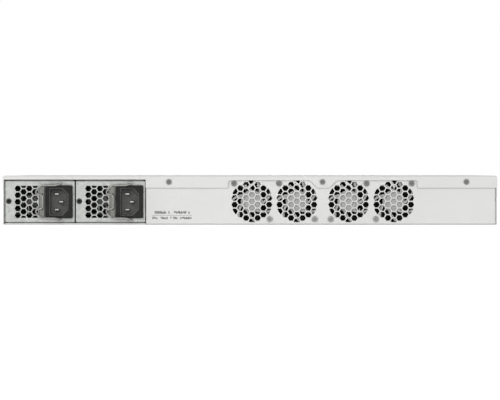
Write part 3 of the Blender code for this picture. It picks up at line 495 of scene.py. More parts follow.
BOARD = circuit_board("solder_mask_green", (0.012, 0.085, 0.035))
BOARD_DARK = circuit_board("solder_mask_dark", (0.012, 0.016, 0.014))
PORT_METAL = brushed("port_shield_nickel", (0.66, 0.65, 0.63), 0.28, along=(0.08, 1, 1))
LENS = plain("light_pipe", (0.55, 0.62, 0.50), 0.2, amount=0.05)
LENS_AMBER = plain("light_pipe_amber", (0.62, 0.45, 0.22), 0.2, amount=0.05)
SLEEVE = plain("capacitor_sleeve", (0.02, 0.025, 0.06), 0.35, amount=0.15)


# ---- Adding pieces
def wear(made, finish):
    made.data.materials.clear()
    made.data.materials.append(finish)


def piece(name, mesh, body, slot, finish, stands_for=None, at=(0, 0, 0), smooth=35, turn=(0, 0, 0)):
    """Adds a piece; edges sharper than smooth degrees stay sharp, and at 0 every face is flat."""
    made = put(name, mesh if isinstance(mesh, bpy.types.Mesh) else mesh_of(name, mesh), at)
    made.rotation_euler = turn
    wear(made, finish)
    if smooth:
        made.data.shade_smooth()
        made.data.set_sharp_from_angle(angle=math.radians(smooth))
    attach(made, body)
    if stands_for:
        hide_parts(stands_for)


# ---- Cover and panels
LIP_IN = REAR_Y - 0.0008
LIP_LOW, LIP_HIGH, LIP_BAY = 0.0331, 0.0398, 0.0405
SIDE_IN = HALF - SHEET
EAR_HOLES = [(FRONT_Y + 0.014 + 0.016 * i, z) for i in range(2) for z in (0.010, 0.034)]
SIDE_SCREWS = [(REAR_Y - 0.030, 0.035), (REAR_Y - 0.130, 0.035)]
BEND = 0.0018


def long_hexagon(x, z, half_width, half_height):
    side = half_height - half_width / math.sqrt(3)
    return [
        (x - half_width, z - side),
        (x, z - half_height),
        (x + half_width, z - side),
        (x + half_width, z + side),
        (x, z + half_height),
        (x - half_width, z + side),
    ]


def bent_box(a, b, radius, steps):
    """A box whose two upper long edges and upper rear edge are bends."""
    bm = box(a, b)
    edges = []
    for edge in bm.edges:
        ends = [v.co for v in edge.verts]
        upper = all(abs(co.z - b[2]) < 1e-6 for co in ends)
        if upper and not all(abs(co.y - a[1]) < 1e-6 for co in ends):
            edges.append(edge)
    bmesh.ops.bevel(bm, geom=edges, offset=radius, segments=steps, profile=0.5, affect="EDGES")
    return bm


def lip_cutter():
    """Opens the rear lip over the module bay, and higher over each pair of fans."""
    rise, corner, square, sloped = LIP_HIGH - LIP_LOW, 0.0022, 0.0414, 0.0385
    first, last = low("psu_cage").x + 0.0006, -SIDE_IN
    pair_a, pair_b = ((FAN_MIDDLE[n].x + FAN_MIDDLE[n + 1].x) / 2 for n in (1, 3))
    foot_a, foot_b = pair_a - sloped, pair_b + sloped - 0.0010
    bend = circle((square - corner, LIP_HIGH - corner), corner, 16)[:5]
    ramp = [(0.0005, LIP_LOW), (-0.0005, LIP_LOW + 0.0006)]
    ramp += [(0.0004 - rise, LIP_HIGH - 0.0004), (-0.0006 - rise, LIP_HIGH)]
    outline = [
        *((SIDE_IN, -0.002), (SIDE_IN, LIP_BAY), (first, LIP_BAY), (first, LIP_LOW), (pair_a + square, LIP_LOW)),
        *((pair_a + x, z) for x, z in bend),
        *((foot_a - x, z) for x, z in reversed(ramp)),
        *((foot_b + x, z) for x, z in ramp),
        *((pair_b - x, z) for x, z in reversed(bend)),
        *((pair_b - square, LIP_LOW), (last, LIP_LOW), (last, -0.002)),
    ]
    return prism(outline, "Y", LIP_IN - 0.0012, REAR_Y + 0.001)


def cover():
    front = low("top_cover").y
    shell = bent_box((-HALF, front, low("top_cover").z), (HALF, REAR_Y, HEIGHT), BEND, 5)
    hollow = bent_box((-SIDE_IN, front - 0.002, -0.002), (SIDE_IN, LIP_IN, HEIGHT - SHEET), BEND - 0.0009, 3)
    sides, sinks = bmesh.new(), bmesh.new()
    for end in (-1, 1):
        near, far = sorted((end * (SIDE_IN - 0.001), end * (HALF + 0.001)))
        for i in range(12):
            add_prism(sides, long_hexagon(FRONT_Y + 0.060 + i * 0.0075, 0.024, 0.0019, 0.0115), "X", near, far)
        for y, z in EAR_HOLES:
            add_prism(sides, circle((y, z), 0.0021, 24), "X", near, far)
        for y, z in SIDE_SCREWS:
            inner, outer = end * (HALF - 0.0008), end * (HALF + 0.0002)
            add_loft(sinks, ((circle((y, z), 0.0022, 24), inner), (circle((y, z), 0.0032, 24), outer)), "X")
    cuts = [(CUT, cutter) for cutter in (hollow, lip_cutter(), sides, sinks)]
    mesh = combine("cover", shell, *cuts)
    piece("cover_skin", mesh, "chassis", "white_paint", PAINT, "top_cover", smooth=25)


def grille_cells(centre_x, centre_z):
    for column in range(-3, 4):
        offset = 0.5 if column % 2 else 0.0
        for row in range(-4, 4):
            x, z = column * HEX_STEP, (row + offset) * HEX_PITCH
            if math.hypot(x, z) > GRILLE_R + 0.0005:
                continue
            cell = circle((centre_x + x, centre_z + z), HEX_FLATS / math.sqrt(3), 6)
            cell = clip_to_circle(cell, (centre_x, centre_z), GRILLE_R)
            twice_area = abs(sum(a[0] * b[1] - b[0] * a[1] for a, b in zip(cell, cell[1:] + cell[:1])))
            if twice_area > 6e-6:
                yield cell


def rear_plate():
    a, b = low("rear_panel"), high("rear_panel")
    plate = box(a, b)
    edge = [e for e in plate.edges if all(v.co.z < a.z + 1e-6 and v.co.y > b.y - 1e-6 for v in e.verts)]
    bmesh.ops.bevel(plate, geom=edge, offset=0.0009, segments=4, profile=0.5, affect="EDGES")
    cuts = [(CUT, box((a.x - 0.001, a.y - 0.001, 0.0203), (a.x + 0.0002, b.y + 0.001, 0.0318)))]
    for n in FANS:
        cells = bmesh.new()
        for cell in grille_cells(FAN_MIDDLE[n].x, FAN_MIDDLE[n].z):
            add_prism(cells, cell, "Y", PANEL_IN - 0.001, PANEL_OUT + 0.001)
        cuts.append((CUT, cells))
    piece("rear_plate", combine("rear_plate", plate, *cuts), "chassis", "white_paint", PAINT, "rear_panel")


# ---- Screws
def cross_recess(radius, depth_from, depth_to, arm=0.62, width=0.15):
    bm = bmesh.new()
    reach, half = radius * arm, radius * width
    for w, h in ((reach, half), (half, reach)):
        add_loft(bm, ((rectangle(0, 0, w * 0.55, h * 0.55), depth_to), (rectangle(0, 0, w, h), depth_from)))
    return bm


def pan_head(radius, height):
    """Domed head with a cross recess; its underside is at the origin and it faces +Y."""
    profile = [(radius * 0.96, 0.0), (radius, height * 0.18), (radius, height * 0.45)]
    for i in range(1, 6):
        a = math.radians(90 * i / 5)
        profile.append((radius * (0.62 + 0.38 * math.cos(a)), height * (0.45 + 0.55 * math.sin(a))))
    head = turned([*profile, (radius * 0.3, height)], 32)
    return combine("pan_head", head, (CUT, cross_recess(radius, height * 1.1, height * 0.30)))


def sunk_head(radius, depth):
    head = turned([(radius * 0.45, -depth), (radius * 0.93, -radius * 0.08), (radius * 0.86, 0.0)], 28)
    return combine("sunk_head", head, (CUT, cross_recess(radius, 0.0003, -depth * 0.85, 0.6, 0.16)))


def rear_screw(node, head, finish, y, turn):
    spot = middle(node)
    at = (spot.x, y + 0.0001, spot.z)
    piece(f"{node}_head", head.copy(), "chassis", "screw_steel", finish, node, at, turn=(0, turn, 0))


def screws():
    fan_head, cover_head, side_head = pan_head(0.00255, 0.0011), pan_head(0.0024, 0.0010), sunk_head(0.0030, 0.0008)
    for n in FANS:
        for place, finish in (("upper", SCREW_DARKER_COPY), ("lower", SCREW)):
            rear_screw(f"fan_{n}_{place}_screw", fan_head, finish, PANEL_OUT, 0.3 + n * 1.1)
    for i in (1, 2, 3):
        rear_screw(f"cover_screw_{i}", cover_head, SCREW_DARKER_COPY, REAR_Y, 0.5 + i)
    for end, side in ((-1, "left"), (1, "right")):
        for i, (y, z) in enumerate(SIDE_SCREWS):
            at, turn = (end * (HALF - 0.0002), y, z), (0, 0.4 * i, -end * math.pi / 2)
            piece(f"side_screw_{side}_{i + 1}", side_head.copy(), "chassis", "screw_steel", SCREW, at=at, turn=turn)


# ---- Fans
def curved_vane(turn, inner, outer, sweep, half):
    steps = 10
    one_side, other_side = [], []
    for i in range(steps + 1):
        share = i / steps
        radius = inner + (outer - inner) * share
        angle = turn + sweep * share**0.8
        offset = half / radius
        one_side.append((radius * math.cos(angle - offset), radius * math.sin(angle - offset)))
        other_side.append((radius * math.cos(angle + offset), radius * math.sin(angle + offset)))
    return one_side + other_side[::-1]


def disc(radius, sides, start, end):
    return prism(circle((0, 0), radius, sides), "Y", start, end)


def fan_frame():
    end, flange = FAN_DEPTH / 2, 0.0040
    past = end + 0.001
    square = rounded_box(0, 0, FAN_HALF, FAN_HALF, 0.0028)
    duct = [(DUCT_R + 0.0004, -past), (DUCT_R, -end + 0.002), (DUCT_R, end - 0.001), (DUCT_R + 0.0003, past)]
    seat = [(HUB_R - 0.0006, -0.0050), (HUB_R, -0.0044), (HUB_R, -0.0006), (HUB_R - 0.0006, 0.0)]
    holes, vanes = bmesh.new(), bmesh.new()
    for x in (-FAN_HOLE, FAN_HOLE):
        for z in (-FAN_HOLE, FAN_HOLE):
            add_prism(holes, circle((x, z), 0.0018, 20), "Y", -past, past)
    for i in range(7):
        turn = math.radians(39) + math.tau * i / 7
        vane = curved_vane(turn, HUB_R - 0.001, DUCT_R + 0.0006, math.radians(-40), 0.0013)
        add_prism(vanes, vane, "Y", HUB_REAR - 0.0046, HUB_REAR - 0.0002)
    return combine(
        "fan_frame_shape",
        prism(square, "Y", -end, -end + flange),
        (ADD, prism(square, "Y", end - flange, end)),
        (ADD, disc(FAN_HALF - 0.0001, 64, -end + 0.001, end - 0.001)),
        (CUT, turned(duct, 64)),
        (CUT, holes),
        (ADD, turned([(r, HUB_REAR + level) for r, level in seat], 48)),
        (ADD, vanes),
        (CUT, box((-0.0035, end - 0.0024, DUCT_R - 0.0030), (0.0035, past, FAN_HALF + 0.001))),
        (CUT, disc(0.0090, 48, HUB_REAR - 0.0003, HUB_REAR + 0.001)),
        (ADD, disc(0.0032, 20, -0.0060, HUB_REAR - 0.003)),
        (CUT, disc(0.0018, 20, -0.0070, HUB_REAR - 0.0015)),
    )


def blade_point(span, c, side):
    """A point on one side of a blade; span goes from 0 at the hub to 1 at the tip, c from -0.5 to 0.5 on the chord."""
    radius, lean = 0.0093 + (0.0181 - 0.0093) * span, math.radians(48 + 16 * span)
    u = (0.0100 + 0.0026 * span) * c
    lift = 0.0011 * (1 - (2 * c) ** 2) + side * 0.0004 * math.sqrt(max(0.0, 1 - (2 * c) ** 4))
    angle = (u * math.sin(lean) + lift * math.cos(lean)) / radius
    level = -0.0030 + u * math.cos(lean) - lift * math.sin(lean)
    return Vector((radius * math.sin(angle), level, radius * math.cos(angle)))


def fan_rotor():
    """Cupped hub with seven cambered, twisted blades."""
    hub = [(0.0090, -0.0120), (0.0097, -0.0114), (0.0098, -0.0100), (0.0098, 0.0060)]
    bm = turned(hub + [(0.0088, 0.0060), (0.0087, -0.0100), (0.0020, -0.0106)], 40)
    add_turned(bm, [(0.0014, -0.0110), (0.0014, 0.0088)], 16)
    spans, chords = 6, 8
    for b in range(7):
        turn = Matrix.Rotation(math.tau * b / 7, 3, "Y")
        sheets, faces = [], []
        for side in (1, -1):
            grid = []
            for i in range(spans + 1):
                row = [turn @ blade_point(i / spans, j / chords - 0.5, side) for j in range(chords + 1)]
                grid.append([bm.verts.new(point) for point in row])
            sheets.append(grid)
        for grid in sheets:
            for one, other in zip(grid, grid[1:]):
                faces += [bm.faces.new((one[j], other[j], other[j + 1], one[j + 1])) for j in range(chords)]
        for one, other in zip(*((grid[0], grid[-1]) for grid in sheets)):
            faces += [bm.faces.new((one[j], one[j + 1], other[j + 1], other[j])) for j in range(chords)]
        ends = [v for grid in sheets for row in grid for v in (row[0], row[-1])]
        bmesh.ops.remove_doubles(bm, verts=ends, dist=1e-7)
        bmesh.ops.recalc_face_normals(bm, faces=[f for f in faces if f.is_valid])
    return mesh_of("fan_rotor_shape", bm)


# Each fan's wires, from the motor's edge along the grille's webs to the duct's edge.
LEAD_RUN = {
    1: ((0.0030, 0.0100), (0.0034, 0.0115), (0.0026, 0.0126), (0.0017, 0.0133), (-0.0025, 0.0172)),
    2: ((-0.0024, 0.0098), (-0.0033, 0.0117), (-0.0025, 0.0138), (-0.0012, 0.0151), (0.0020, 0.0178)),
    3: ((-0.0024, 0.0098), (-0.0033, 0.0117), (-0.0022, 0.0138), (-0.0006, 0.0150), (0.0024, 0.0176)),
    4: ((-0.0005, 0.0110), (-0.0003, 0.0132), (0.0012, 0.0158), (0.0024, 0.0176)),
}


def fan_leads(n):
    """Two wires, side by side, that cross the duct close behind the grille and go forward to the board."""
    y, over = FAN_DEPTH / 2 - 0.0003, FAN_HALF + 0.0009
    run = LEAD_RUN[n]
    x, edge = run[-1][0], 0.0191
    bm = bmesh.new()
    for back, side in ((0.0, -0.0006), (0.0002, 0.0006)):
        route = [(run[0][0], HUB_REAR - 0.0032, 0.0080), (run[0][0], HUB_REAR - 0.0030, run[0][1])]
        route += [(a + side, y - back - 0.0004, b) for a, b in run[1:]]
        route += [
            (x + side, y - back - 0.0006, edge),
            (x + side, y - 0.0012 - back, edge + 0.0010),
            (x + side, y - 0.0036 - back, over),
            (x + side, 0.0, over),
            (x + side, -0.0160, over),
            (x + side, -0.0195, over - 0.0060),
            (x / 2 + side, -0.0215, 0.0),
            (side, -0.0262, -0.0060),
            (side, -0.0288, -0.0085),
        ]
        tube_into(bm, smooth_route(route, 0.0008), 0.00053, 10)
    piece(f"fan_{n}_leads", bm, "chassis", "grey_plastic", LEAD, at=FAN_MIDDLE[n])


def fans():
    shape, rotor = fan_frame(), fan_rotor()
    for n in FANS:
        at = FAN_MIDDLE[n]
        piece(f"fan_{n}_housing", shape.copy(), "chassis", "grey_plastic", FAN_GREY, f"fan_{n}_frame", at)
        piece(f"fan_{n}_impeller", rotor.copy(), f"rotor_{n}", "black_plastic", ROTOR, f"fan_{n}_rotor", at, smooth=40)
        label = disc(0.0087, 48, HUB_REAR - 0.00035, HUB_REAR - 0.00012)
        piece(f"fan_{n}_label", label, "chassis", "grey_plastic", LABEL, at=at)
        rings = bmesh.new()
        for outer, inner in ((0.0074, 0.0069), (0.0030, 0.0027)):
            outlines = circle((0, 0), outer, 48), circle((0, 0), inner, 48)
            add_hoop(rings, *outlines, HUB_REAR - 0.00013, HUB_REAR - 0.00009)
        piece(f"fan_{n}_label_rings", rings, "chassis", "grey_plastic", RING, at=at)
        fan_leads(n)


# ---- Power supplies
INLET_X = -0.0170
FLANGE_OUT = 0.0021
SOCKET_FLOOR = -0.0145
BAIL_X, BAIL_Y = -0.0180, 0.0030
PINS = ((0.0020, 0.0070), (0.0020, -0.0070), (-0.0020, 0.0))
PIN_TIP = -0.0010


def module_piece(n, name, mesh, *look, **more):
    piece(f"psu_{n}_{name}", mesh, f"supply_{n}", *look, **more)


def d_outline(half_w, half_h, bevel=0.0052):
    """A mains socket's outline lying on its side, with two corners cut off towards -X."""
    left, right, inner = INLET_X - half_w, INLET_X + half_w, half_h - bevel
    corners = [(right, -half_h), (right, half_h), (left + bevel, half_h)]
    corners += [(left, inner), (left, -inner), (left + bevel, -half_h)]
    corners = [Vector((x, PSU_MID + z)) for x, z in corners]
    points = []
    for before, corner, after in zip(corners[-1:] + corners, corners, corners[1:] + corners[:1]):
        points += corner_arc(before, corner, after, 0.0008, 3)
    return points


def inlet_shape():
    full = rounded_box(INLET_X, PSU_MID, 0.01225, 0.0147, 0.0013)
    small = rounded_box(INLET_X, PSU_MID, 0.01190, 0.01435, 0.0011)
    flange = loft((full, 0.00015), (full, FLANGE_OUT - 0.0004), (small, FLANGE_OUT))
    body = box((INLET_X - 0.0099, -0.0190, PSU_MID - 0.0135), (INLET_X + 0.0099, 0.0010, PSU_MID + 0.0135))
    floor, mouth, lead_in = d_outline(0.0082, 0.0120), d_outline(0.0085, 0.0123), d_outline(0.0090, 0.0128, 0.0053)
    entry = ((mouth, FLANGE_OUT - 0.0005), (lead_in, FLANGE_OUT + 0.0001), (lead_in, FLANGE_OUT + 0.001))
    socket, groove = loft((floor, SOCKET_FLOOR), *entry), bmesh.new()
    outer = rounded_box(INLET_X, PSU_MID, 0.0112, 0.0139, 0.0012)
    inner = rounded_box(INLET_X, PSU_MID, 0.0109, 0.0136, 0.0010)
    add_hoop(groove, outer, inner, FLANGE_OUT - 0.0002, FLANGE_OUT + 0.0003)
    return combine("inlet_shape", flange, (ADD, body), (CUT, socket), (CUT, groove))


def pins_shape():
    bm = bmesh.new()
    for x, z in PINS:
        cx, cz = INLET_X + x, PSU_MID + z
        shank = rounded_box(cx, cz, 0.0020, 0.0010, 0.0003, 2)
        tip = rounded_box(cx, cz, 0.0016, 0.00048, 0.0002, 2)
        add_loft(bm, ((shank, SOCKET_FLOOR - 0.0008), (shank, PIN_TIP - 0.0015), (tip, PIN_TIP)))
        add_prism(bm, rectangle(cx, cz, 0.0024, 0.0004), "Y", -0.0255, -0.0188)
    return mesh_of("pins_shape", bm)


def bail_route():
    """Half of the wire, from its pivot to the middle of the end that bows in, then the same mirrored."""
    arm, pivot, tip = 0.0146, 0.0157, 0.0218
    upper = [
        (0, 0, pivot + 0.0015),
        (0, 0, pivot),
        (0.0050, 0, arm),
        (0.0165, 0, arm),
        (tip - 0.0006, 0, 0.0100),
        (tip, 0, 0.0074),
        (tip - 0.0062, 0, 0.0058),
    ]
    lower = [(x, y, -z) for x, y, z in reversed(upper)]
    return rounded_route(upper + lower, 0.0016, 5)


def latch_shape():
    x0, x1, tall = -0.0041, 0.0007, 0.0135
    x, half = (x0 + x1) / 2, (x1 - x0) / 2
    full = rounded_box(x, PSU_MID, half, tall, 0.0006, 3)
    face = rounded_box(x, PSU_MID, half - 0.0003, tall - 0.0003, 0.0005, 3)
    bar = loft((full, -0.0026), (full, 0.0006), (face, 0.0009))
    foot = box((-0.0050, -0.0030, PSU_MID - 0.0146), (0.0016, -0.0014, PSU_MID + 0.0146))
    groove = box((-0.0036, 0.0005, PSU_MID - tall + 0.0012), (-0.0032, 0.0012, PSU_MID + tall - 0.0012))
    pits = bmesh.new()
    for z in (-0.0062, 0.0062):
        add_prism(pits, rounded_box(-0.0021, PSU_MID + z, 0.0006, 0.0013, 0.0005, 3), "Y", -0.0040, 0.0020)
    return combine("latch_shape", bar, (ADD, foot), (CUT, groove), (CUT, pits))


def lock_head():
    """Countersunk head with a deep, wide cross recess."""
    head = turned([(0.0009, -0.0022), (0.0009, -0.0010), (0.0011, -0.0004), (0.0010, 0.0)], 32)
    return combine("lock_head", head, (CUT, cross_recess(0.0012, 0.0003, -0.0014, 0.90, 0.27)))


def lock_cup():
    """Pressed cup washer that lines the countersink round the lock screw; its dark finish also paints the
    countersink's shade.
    """
    inside = turned([(0.0013, -0.0011), (0.00245, 0.0), (0.0025, 0.0002)], 40)
    return combine("lock_cup", turned([(0.0017, -0.0010), (0.0026, -0.00003)], 40), (CUT, inside))


def inlet_lining():
    """The paler core that holds the pins: a floor with thin walls up to the socket's mouth."""
    rim = FLANGE_OUT - 0.0009
    cup = loft((d_outline(0.0082, 0.0120), SOCKET_FLOOR - 0.0003), (d_outline(0.00849, 0.01229), rim))
    floor, mouth = d_outline(0.0078, 0.0116, 0.0051), d_outline(0.0081, 0.0119, 0.0051)
    return combine("inlet_lining", cup, (CUT, loft((floor, SOCKET_FLOOR + 0.0009), (mouth, rim + 0.0004))))


def ground_spring(n):
    """A thin sprung finger folded up from the module's top edge, near its outer corner."""
    half, sheet = PSU_W / 2, 0.0003
    x0, x1, top = half - 0.0068, half - 0.0002, PSU_H + 0.0013
    strip = box((x0, -0.0120, PSU_H), (x1, -0.0005, PSU_H + sheet))
    over = [(-0.0060, PSU_H), (-0.0030, top), (-0.0012, top), (-0.0004, PSU_H)]
    under = [(-0.0008, PSU_H), (-0.0015, top - sheet), (-0.0028, top - sheet), (-0.0054, PSU_H)]
    spring = combine("ground_spring", strip, (ADD, prism(over + under, "X", x0, x1)))
    module_piece(n, "ground_spring", spring, "plated_steel", ZINC, at=MODULE[n])


def module_gaskets(n):
    """Grey sealing strips along the module's top and bottom, just behind its end plate."""
    half = PSU_W / 2
    bm = box((-half + 0.0012, -0.0030, PSU_H + 0.00002), (half - 0.0073, -0.0008, PSU_H + 0.0009))
    add_box(bm, (-half + 0.0012, -0.0030, -0.0006), (half - 0.0012, -0.0008, -0.00002))
    module_piece(n, "gaskets", bm, "grey_plastic", GASKET, at=MODULE[n], smooth=0)


def bay_edge():
    """A sealing strip down the cage's outer wall, beside the outer module, and a bright cap on the wall's end."""
    wall = MODULE[1].x + PSU_W / 2 + 0.0007
    rear = MODULE[1].y
    strip = box((wall - 0.00048, rear - 0.0030, 0.0030), (wall - 0.00002, rear - 0.0008, LIP_BAY - 0.0018))
    piece("psu_cage_gasket", strip, "chassis", "grey_plastic", GASKET, smooth=0)
    end, outer = LIP_IN - 0.00025, SIDE_IN - 0.0003
    cap = box((wall + 0.00005, end, 0.0019), (outer, end + 0.00045, LIP_BAY - 0.0007))
    piece("psu_cage_end_cap", cap, "chassis", "plated_steel", ZINC, smooth=0)


def film_capacitor(n):
    """A boxed capacitor standing on two leads behind the vent."""
    at, foot = MODULE[n], high(f"psu_{n}_board").z
    x, z = at.x + 0.0074, at.z + PSU_MID + 0.0012
    end, side = (rounded_box(x, z, half, half + 0.0002, 0.0007, 3) for half in (0.0040, 0.0046))
    levels = (end, -0.0052), (side, -0.0057), (side, -0.0123), (end, -0.0128)
    case = loft(*((outline, at.y + level) for outline, level in levels))
    module_piece(n, "film_capacitor", case, "grey_plastic", CAPACITOR)
    legs = bmesh.new()
    for dx in (-0.0035, 0.0035):
        leg = [(x + dx, at.y - 0.0090, end_z) for end_z in (z - 0.0040, foot - 0.0002)]
        tube_into(legs, leg, 0.0004, 8)
    module_piece(n, "film_capacitor_leads", legs, "screw_steel", TIN)


def winding(ring, section, wire, turns, axis_half):
    """A coil around the rim of an upright ring whose axis is Y."""
    route, steps = [], turns * 12
    for i in range(steps + 1):
        around = math.radians(35) + math.radians(290) * i / steps
        roll = math.tau * turns * i / steps
        r = ring + section * math.cos(roll)
        route.append((r * math.cos(around), axis_half * math.sin(roll), r * math.sin(around)))
    bm = bmesh.new()
    tube_into(bm, route, wire, 6)
    return bm


def supply_inside(n):
    film_capacitor(n)
    ground_spring(n)
    choke = f"psu_{n}_choke"
    spot, half = middle(choke), (high(choke).z - low(choke).z) / 2
    core = bmesh.new()
    add_hoop(core, circle((0, 0), half - 0.0008, 40), circle((0, 0), half - 0.0045, 40), -0.0046, 0.0046)
    module_piece(n, "choke_core", core, "ferrite", TAPE, choke, spot)
    module_piece(n, "choke_winding", winding(half - 0.0027, 0.0026, 0.00045, 40, 0.0053), "ferrite", COPPER, at=spot)
    can = f"psu_{n}_capacitor"
    spot, foot, top = middle(can), low(can).z, high(can).z
    r = (high(can).x - low(can).x) / 2
    bead = [(r * 0.96, foot), (r, foot + 0.0004), (r, foot + 0.0018), (r * 0.95, foot + 0.0024), (r, foot + 0.0030)]
    sleeve = turned([*bead, (r, top - 0.0006), (r * 0.9, top)], 40, (spot.x, spot.y), "Z")
    module_piece(n, "capacitor_sleeve", sleeve, "black_plastic", SLEEVE, can)
    core = f"psu_{n}_transformer"
    spot = middle(core)
    half = Vector((0.0123, 0.0133, (high(core).z - low(core).z) / 2 - 0.0055))
    module_piece(n, "transformer_tape", box(spot - half, spot + half), "ferrite", TAPE)
    leads = bmesh.new()
    for (dx, z), end in zip(PINS, (0.0120, 0.0050, -0.0030)):
        start = MODULE[n] + Vector((INLET_X + dx, -0.0250, PSU_MID + z))
        stop = MODULE[n] + Vector((end - 0.0060, -0.0345, 0.0078))
        sag = [start + Vector((0.002, -0.004, 0)), (start + stop) / 2 + Vector((0.010, -0.002, 0.004))]
        route = smooth_route([start, *sag, stop + Vector((0, 0, 0.006)), stop], 0.0012)
        tube_into(leads, route, 0.0009, 8)
    module_piece(n, "mains_leads", leads, "grey_plastic", MAINS_LEAD)


def supplies():
    inlet, pins, insert, latch, lock, cup = (
        shape() for shape in (inlet_shape, pins_shape, inlet_lining, latch_shape, lock_head, lock_cup)
    )
    bay_edge()
    for n in SUPPLIES:
        at = MODULE[n]
        metal = {"case": ZINC, "lid": ZINC, "board": BOARD_DARK, "heatsink": ANODISED, "transformer": FERRITE}
        for node, finish in metal.items():
            wear(NODES[f"psu_{n}_{node}"], finish)
        module_piece(n, "inlet_moulding", inlet.copy(), "black_plastic", INLET, f"psu_{n}_inlet", at)
        module_piece(n, "inlet_pins", pins.copy(), "screw_steel", TIN, at=at)
        piece(f"psu_{n}_latch_bar", latch.copy(), f"latch_{n}", "plated_steel", LATCH, f"psu_{n}_latch", at)
        wire = bmesh.new()
        tube_into(wire, bail_route(), 0.0007, 14)
        hinge = at + Vector((BAIL_X, BAIL_Y, PSU_MID))
        piece(f"psu_{n}_bail_wire", wire, f"bail_{n}", "bright_wire", WIRE, f"psu_{n}_bail", hinge, smooth=60)
        module_piece(n, "inlet_insert", insert.copy(), "black_plastic", INSERT, at=at)
        screw = f"psu_{n}_lock_screw"
        x, _, z = middle(screw)
        head_at, look = (x, at.y - 0.0009, z), ("screw_steel", BLACKENED, screw)
        module_piece(n, "lock_screw_head", lock.copy(), *look, head_at, turn=(0, 0.78, 0))
        module_piece(n, "lock_screw_cup", cup.copy(), "screw_steel", CUP_SHADE, at=(x, at.y, z), smooth=40)
        fingers = bmesh.new()
        end, z = low(f"psu_{n}_board").y, high(f"psu_{n}_board").z
        for i in range(-10, 11):
            x = at.x + i * 0.0016
            add_box(fingers, (x - 0.0005, end + 0.0004, z - 0.0001), (x + 0.0005, end + 0.0070, z + 0.00006))
        module_piece(n, "contact_fingers", fingers, "board_green", GOLD, smooth=0)
        module_gaskets(n)
        supply_inside(n)


# ---- Front ports
JACK_PITCH = 0.0140
CONTACT_PITCH = 0.00102
CAGE_ROW = 0.0068
NUMBER_SIZE = 0.0026
JACKS = {"management_jack": 1, "rj45_block_1": 5, "rj45_block_2": 5}
CAGES = {"sfp_cage": (2, 0.0138), "qsfp_cage": (1, 0.0190)}


def print_on_front(bm, number, x, z):
    curve = bpy.data.curves.new("number", "FONT")
    curve.body, curve.size, curve.align_x, curve.align_y = str(number), NUMBER_SIZE, "CENTER", "CENTER"
    curve.extrude = 0.00001
    holder = put("number", curve)
    bpy.context.view_layer.update()
    mesh = bpy.data.meshes.new_from_object(holder.evaluated_get(bpy.context.evaluated_depsgraph_get()))
    bpy.data.objects.remove(holder)
    bpy.data.curves.remove(curve)
    mesh.transform(Matrix.Translation((x, FRONT_Y + 0.000005, z)) @ Matrix.Rotation(math.pi / 2, 4, "X"))
    bm.from_mesh(mesh)
    bpy.data.meshes.remove(mesh)


def print_pair(bm, number, x):
    """Numbers one port above a column and the next one below it."""
    print_on_front(bm, number, x, high("rj45_block_1").z + 0.0027)
    print_on_front(bm, number + 1, x, low("rj45_block_1").z - 0.0028)


def columns_of(name, count, pitch):
    """The centres of a node's port columns."""
    x = middle(name).x
    return [x + (column - (count - 1) / 2) * pitch for column in range(count)]


def add_bar(bm, x, half, front, back, z0, z1):
    add_box(bm, (x - half, front, min(z0, z1)), (x + half, back, max(z0, z1)))


def ports():
    marks, contacts, lamps, amber, shields, tongues = (bmesh.new() for _ in range(6))
    face, port_mid = low("rj45_block_1").y, middle("rj45_block_1").z
    pair = ((-1, lamps), (1, amber))
    number = 1
    for name, count in JACKS.items():
        for x in columns_of(name, count, JACK_PITCH):
            for up in (1, -1):
                near, far = port_mid + up * 0.0025, port_mid + up * 0.0094
                base, tip = near + up * 0.0003, near + up * 0.0034
                spring = (0.0032, base), (0.0050, base + up * 0.0002), (0.0100, tip), (0.0134, tip + up * 0.0006)
                for i in range(8):
                    cx = x + (i - 3.5) * CONTACT_PITCH
                    tube_into(contacts, [(cx, face + y, z) for y, z in spring], 0.00019, 6)
                for side, bm in pair:
                    z0, z1 = port_mid + up * 0.0006, port_mid + up * 0.0019
                    add_bar(bm, x + side * 0.0042, 0.0013, face - 0.00005, face + 0.0010, z0, z1)
                    z0, z1 = near - up * 0.00035, far + up * 0.0003
                    add_bar(shields, x + side * 0.00625, 0.00025, face - 0.00008, face + 0.0006, z0, z1)
            if name != "management_jack":
                print_pair(marks, number, x)
                number += 2
    for name, (count, slot) in CAGES.items():
        mid, back = middle(name).z, high(name).y
        for x in columns_of(name, count, slot + 0.001):
            print_pair(marks, number, x)
            number += 2
            for up in (1, -1):
                z = mid + up * CAGE_ROW
                out = z + up * 0.0045
                for i in range(-2, 3):
                    fx = x + i * slot / 5.4
                    add_bar(shields, fx, slot / 14, face + 0.0001, face + 0.0060, out, out - up * 0.00025)
                for side, bm in pair:
                    z0, z1 = mid + up * 0.0003 - 0.0002, mid + up * 0.0013 - 0.0002
                    add_bar(bm, x + side * slot * 0.25, 0.0010, face - 0.00005, face + 0.0010, z0, z1)
                add_bar(tongues, x, slot * 0.36, back - 0.0100, back - 0.0022, z - 0.0022, z + 0.0022)
    lens = [(0.0009, FRONT_Y + 0.0010), (0.0009, FRONT_Y + 0.00002), (0.0007, FRONT_Y)]
    for z, bm in ((0.0220, lamps), (0.0262, lamps), (0.0304, amber)):
        add_turned(bm, lens, 16, (low("reset_button").x + 0.0022, z))
    piece("port_numbers", marks, "chassis", "black_plastic", PRINT, smooth=0)
    piece("jack_contacts", contacts, "chassis", "bright_wire", GOLD)
    piece("port_lamps_green", lamps, "chassis", "grey_plastic", LENS, smooth=0)
    piece("port_lamps_amber", amber, "chassis", "grey_plastic", LENS_AMBER, smooth=0)
    piece("port_shield_edges", shields, "chassis", "plated_steel", PORT_METAL, smooth=0)
    piece("module_connectors", tongues, "chassis", "black_plastic", BLACK, smooth=0)


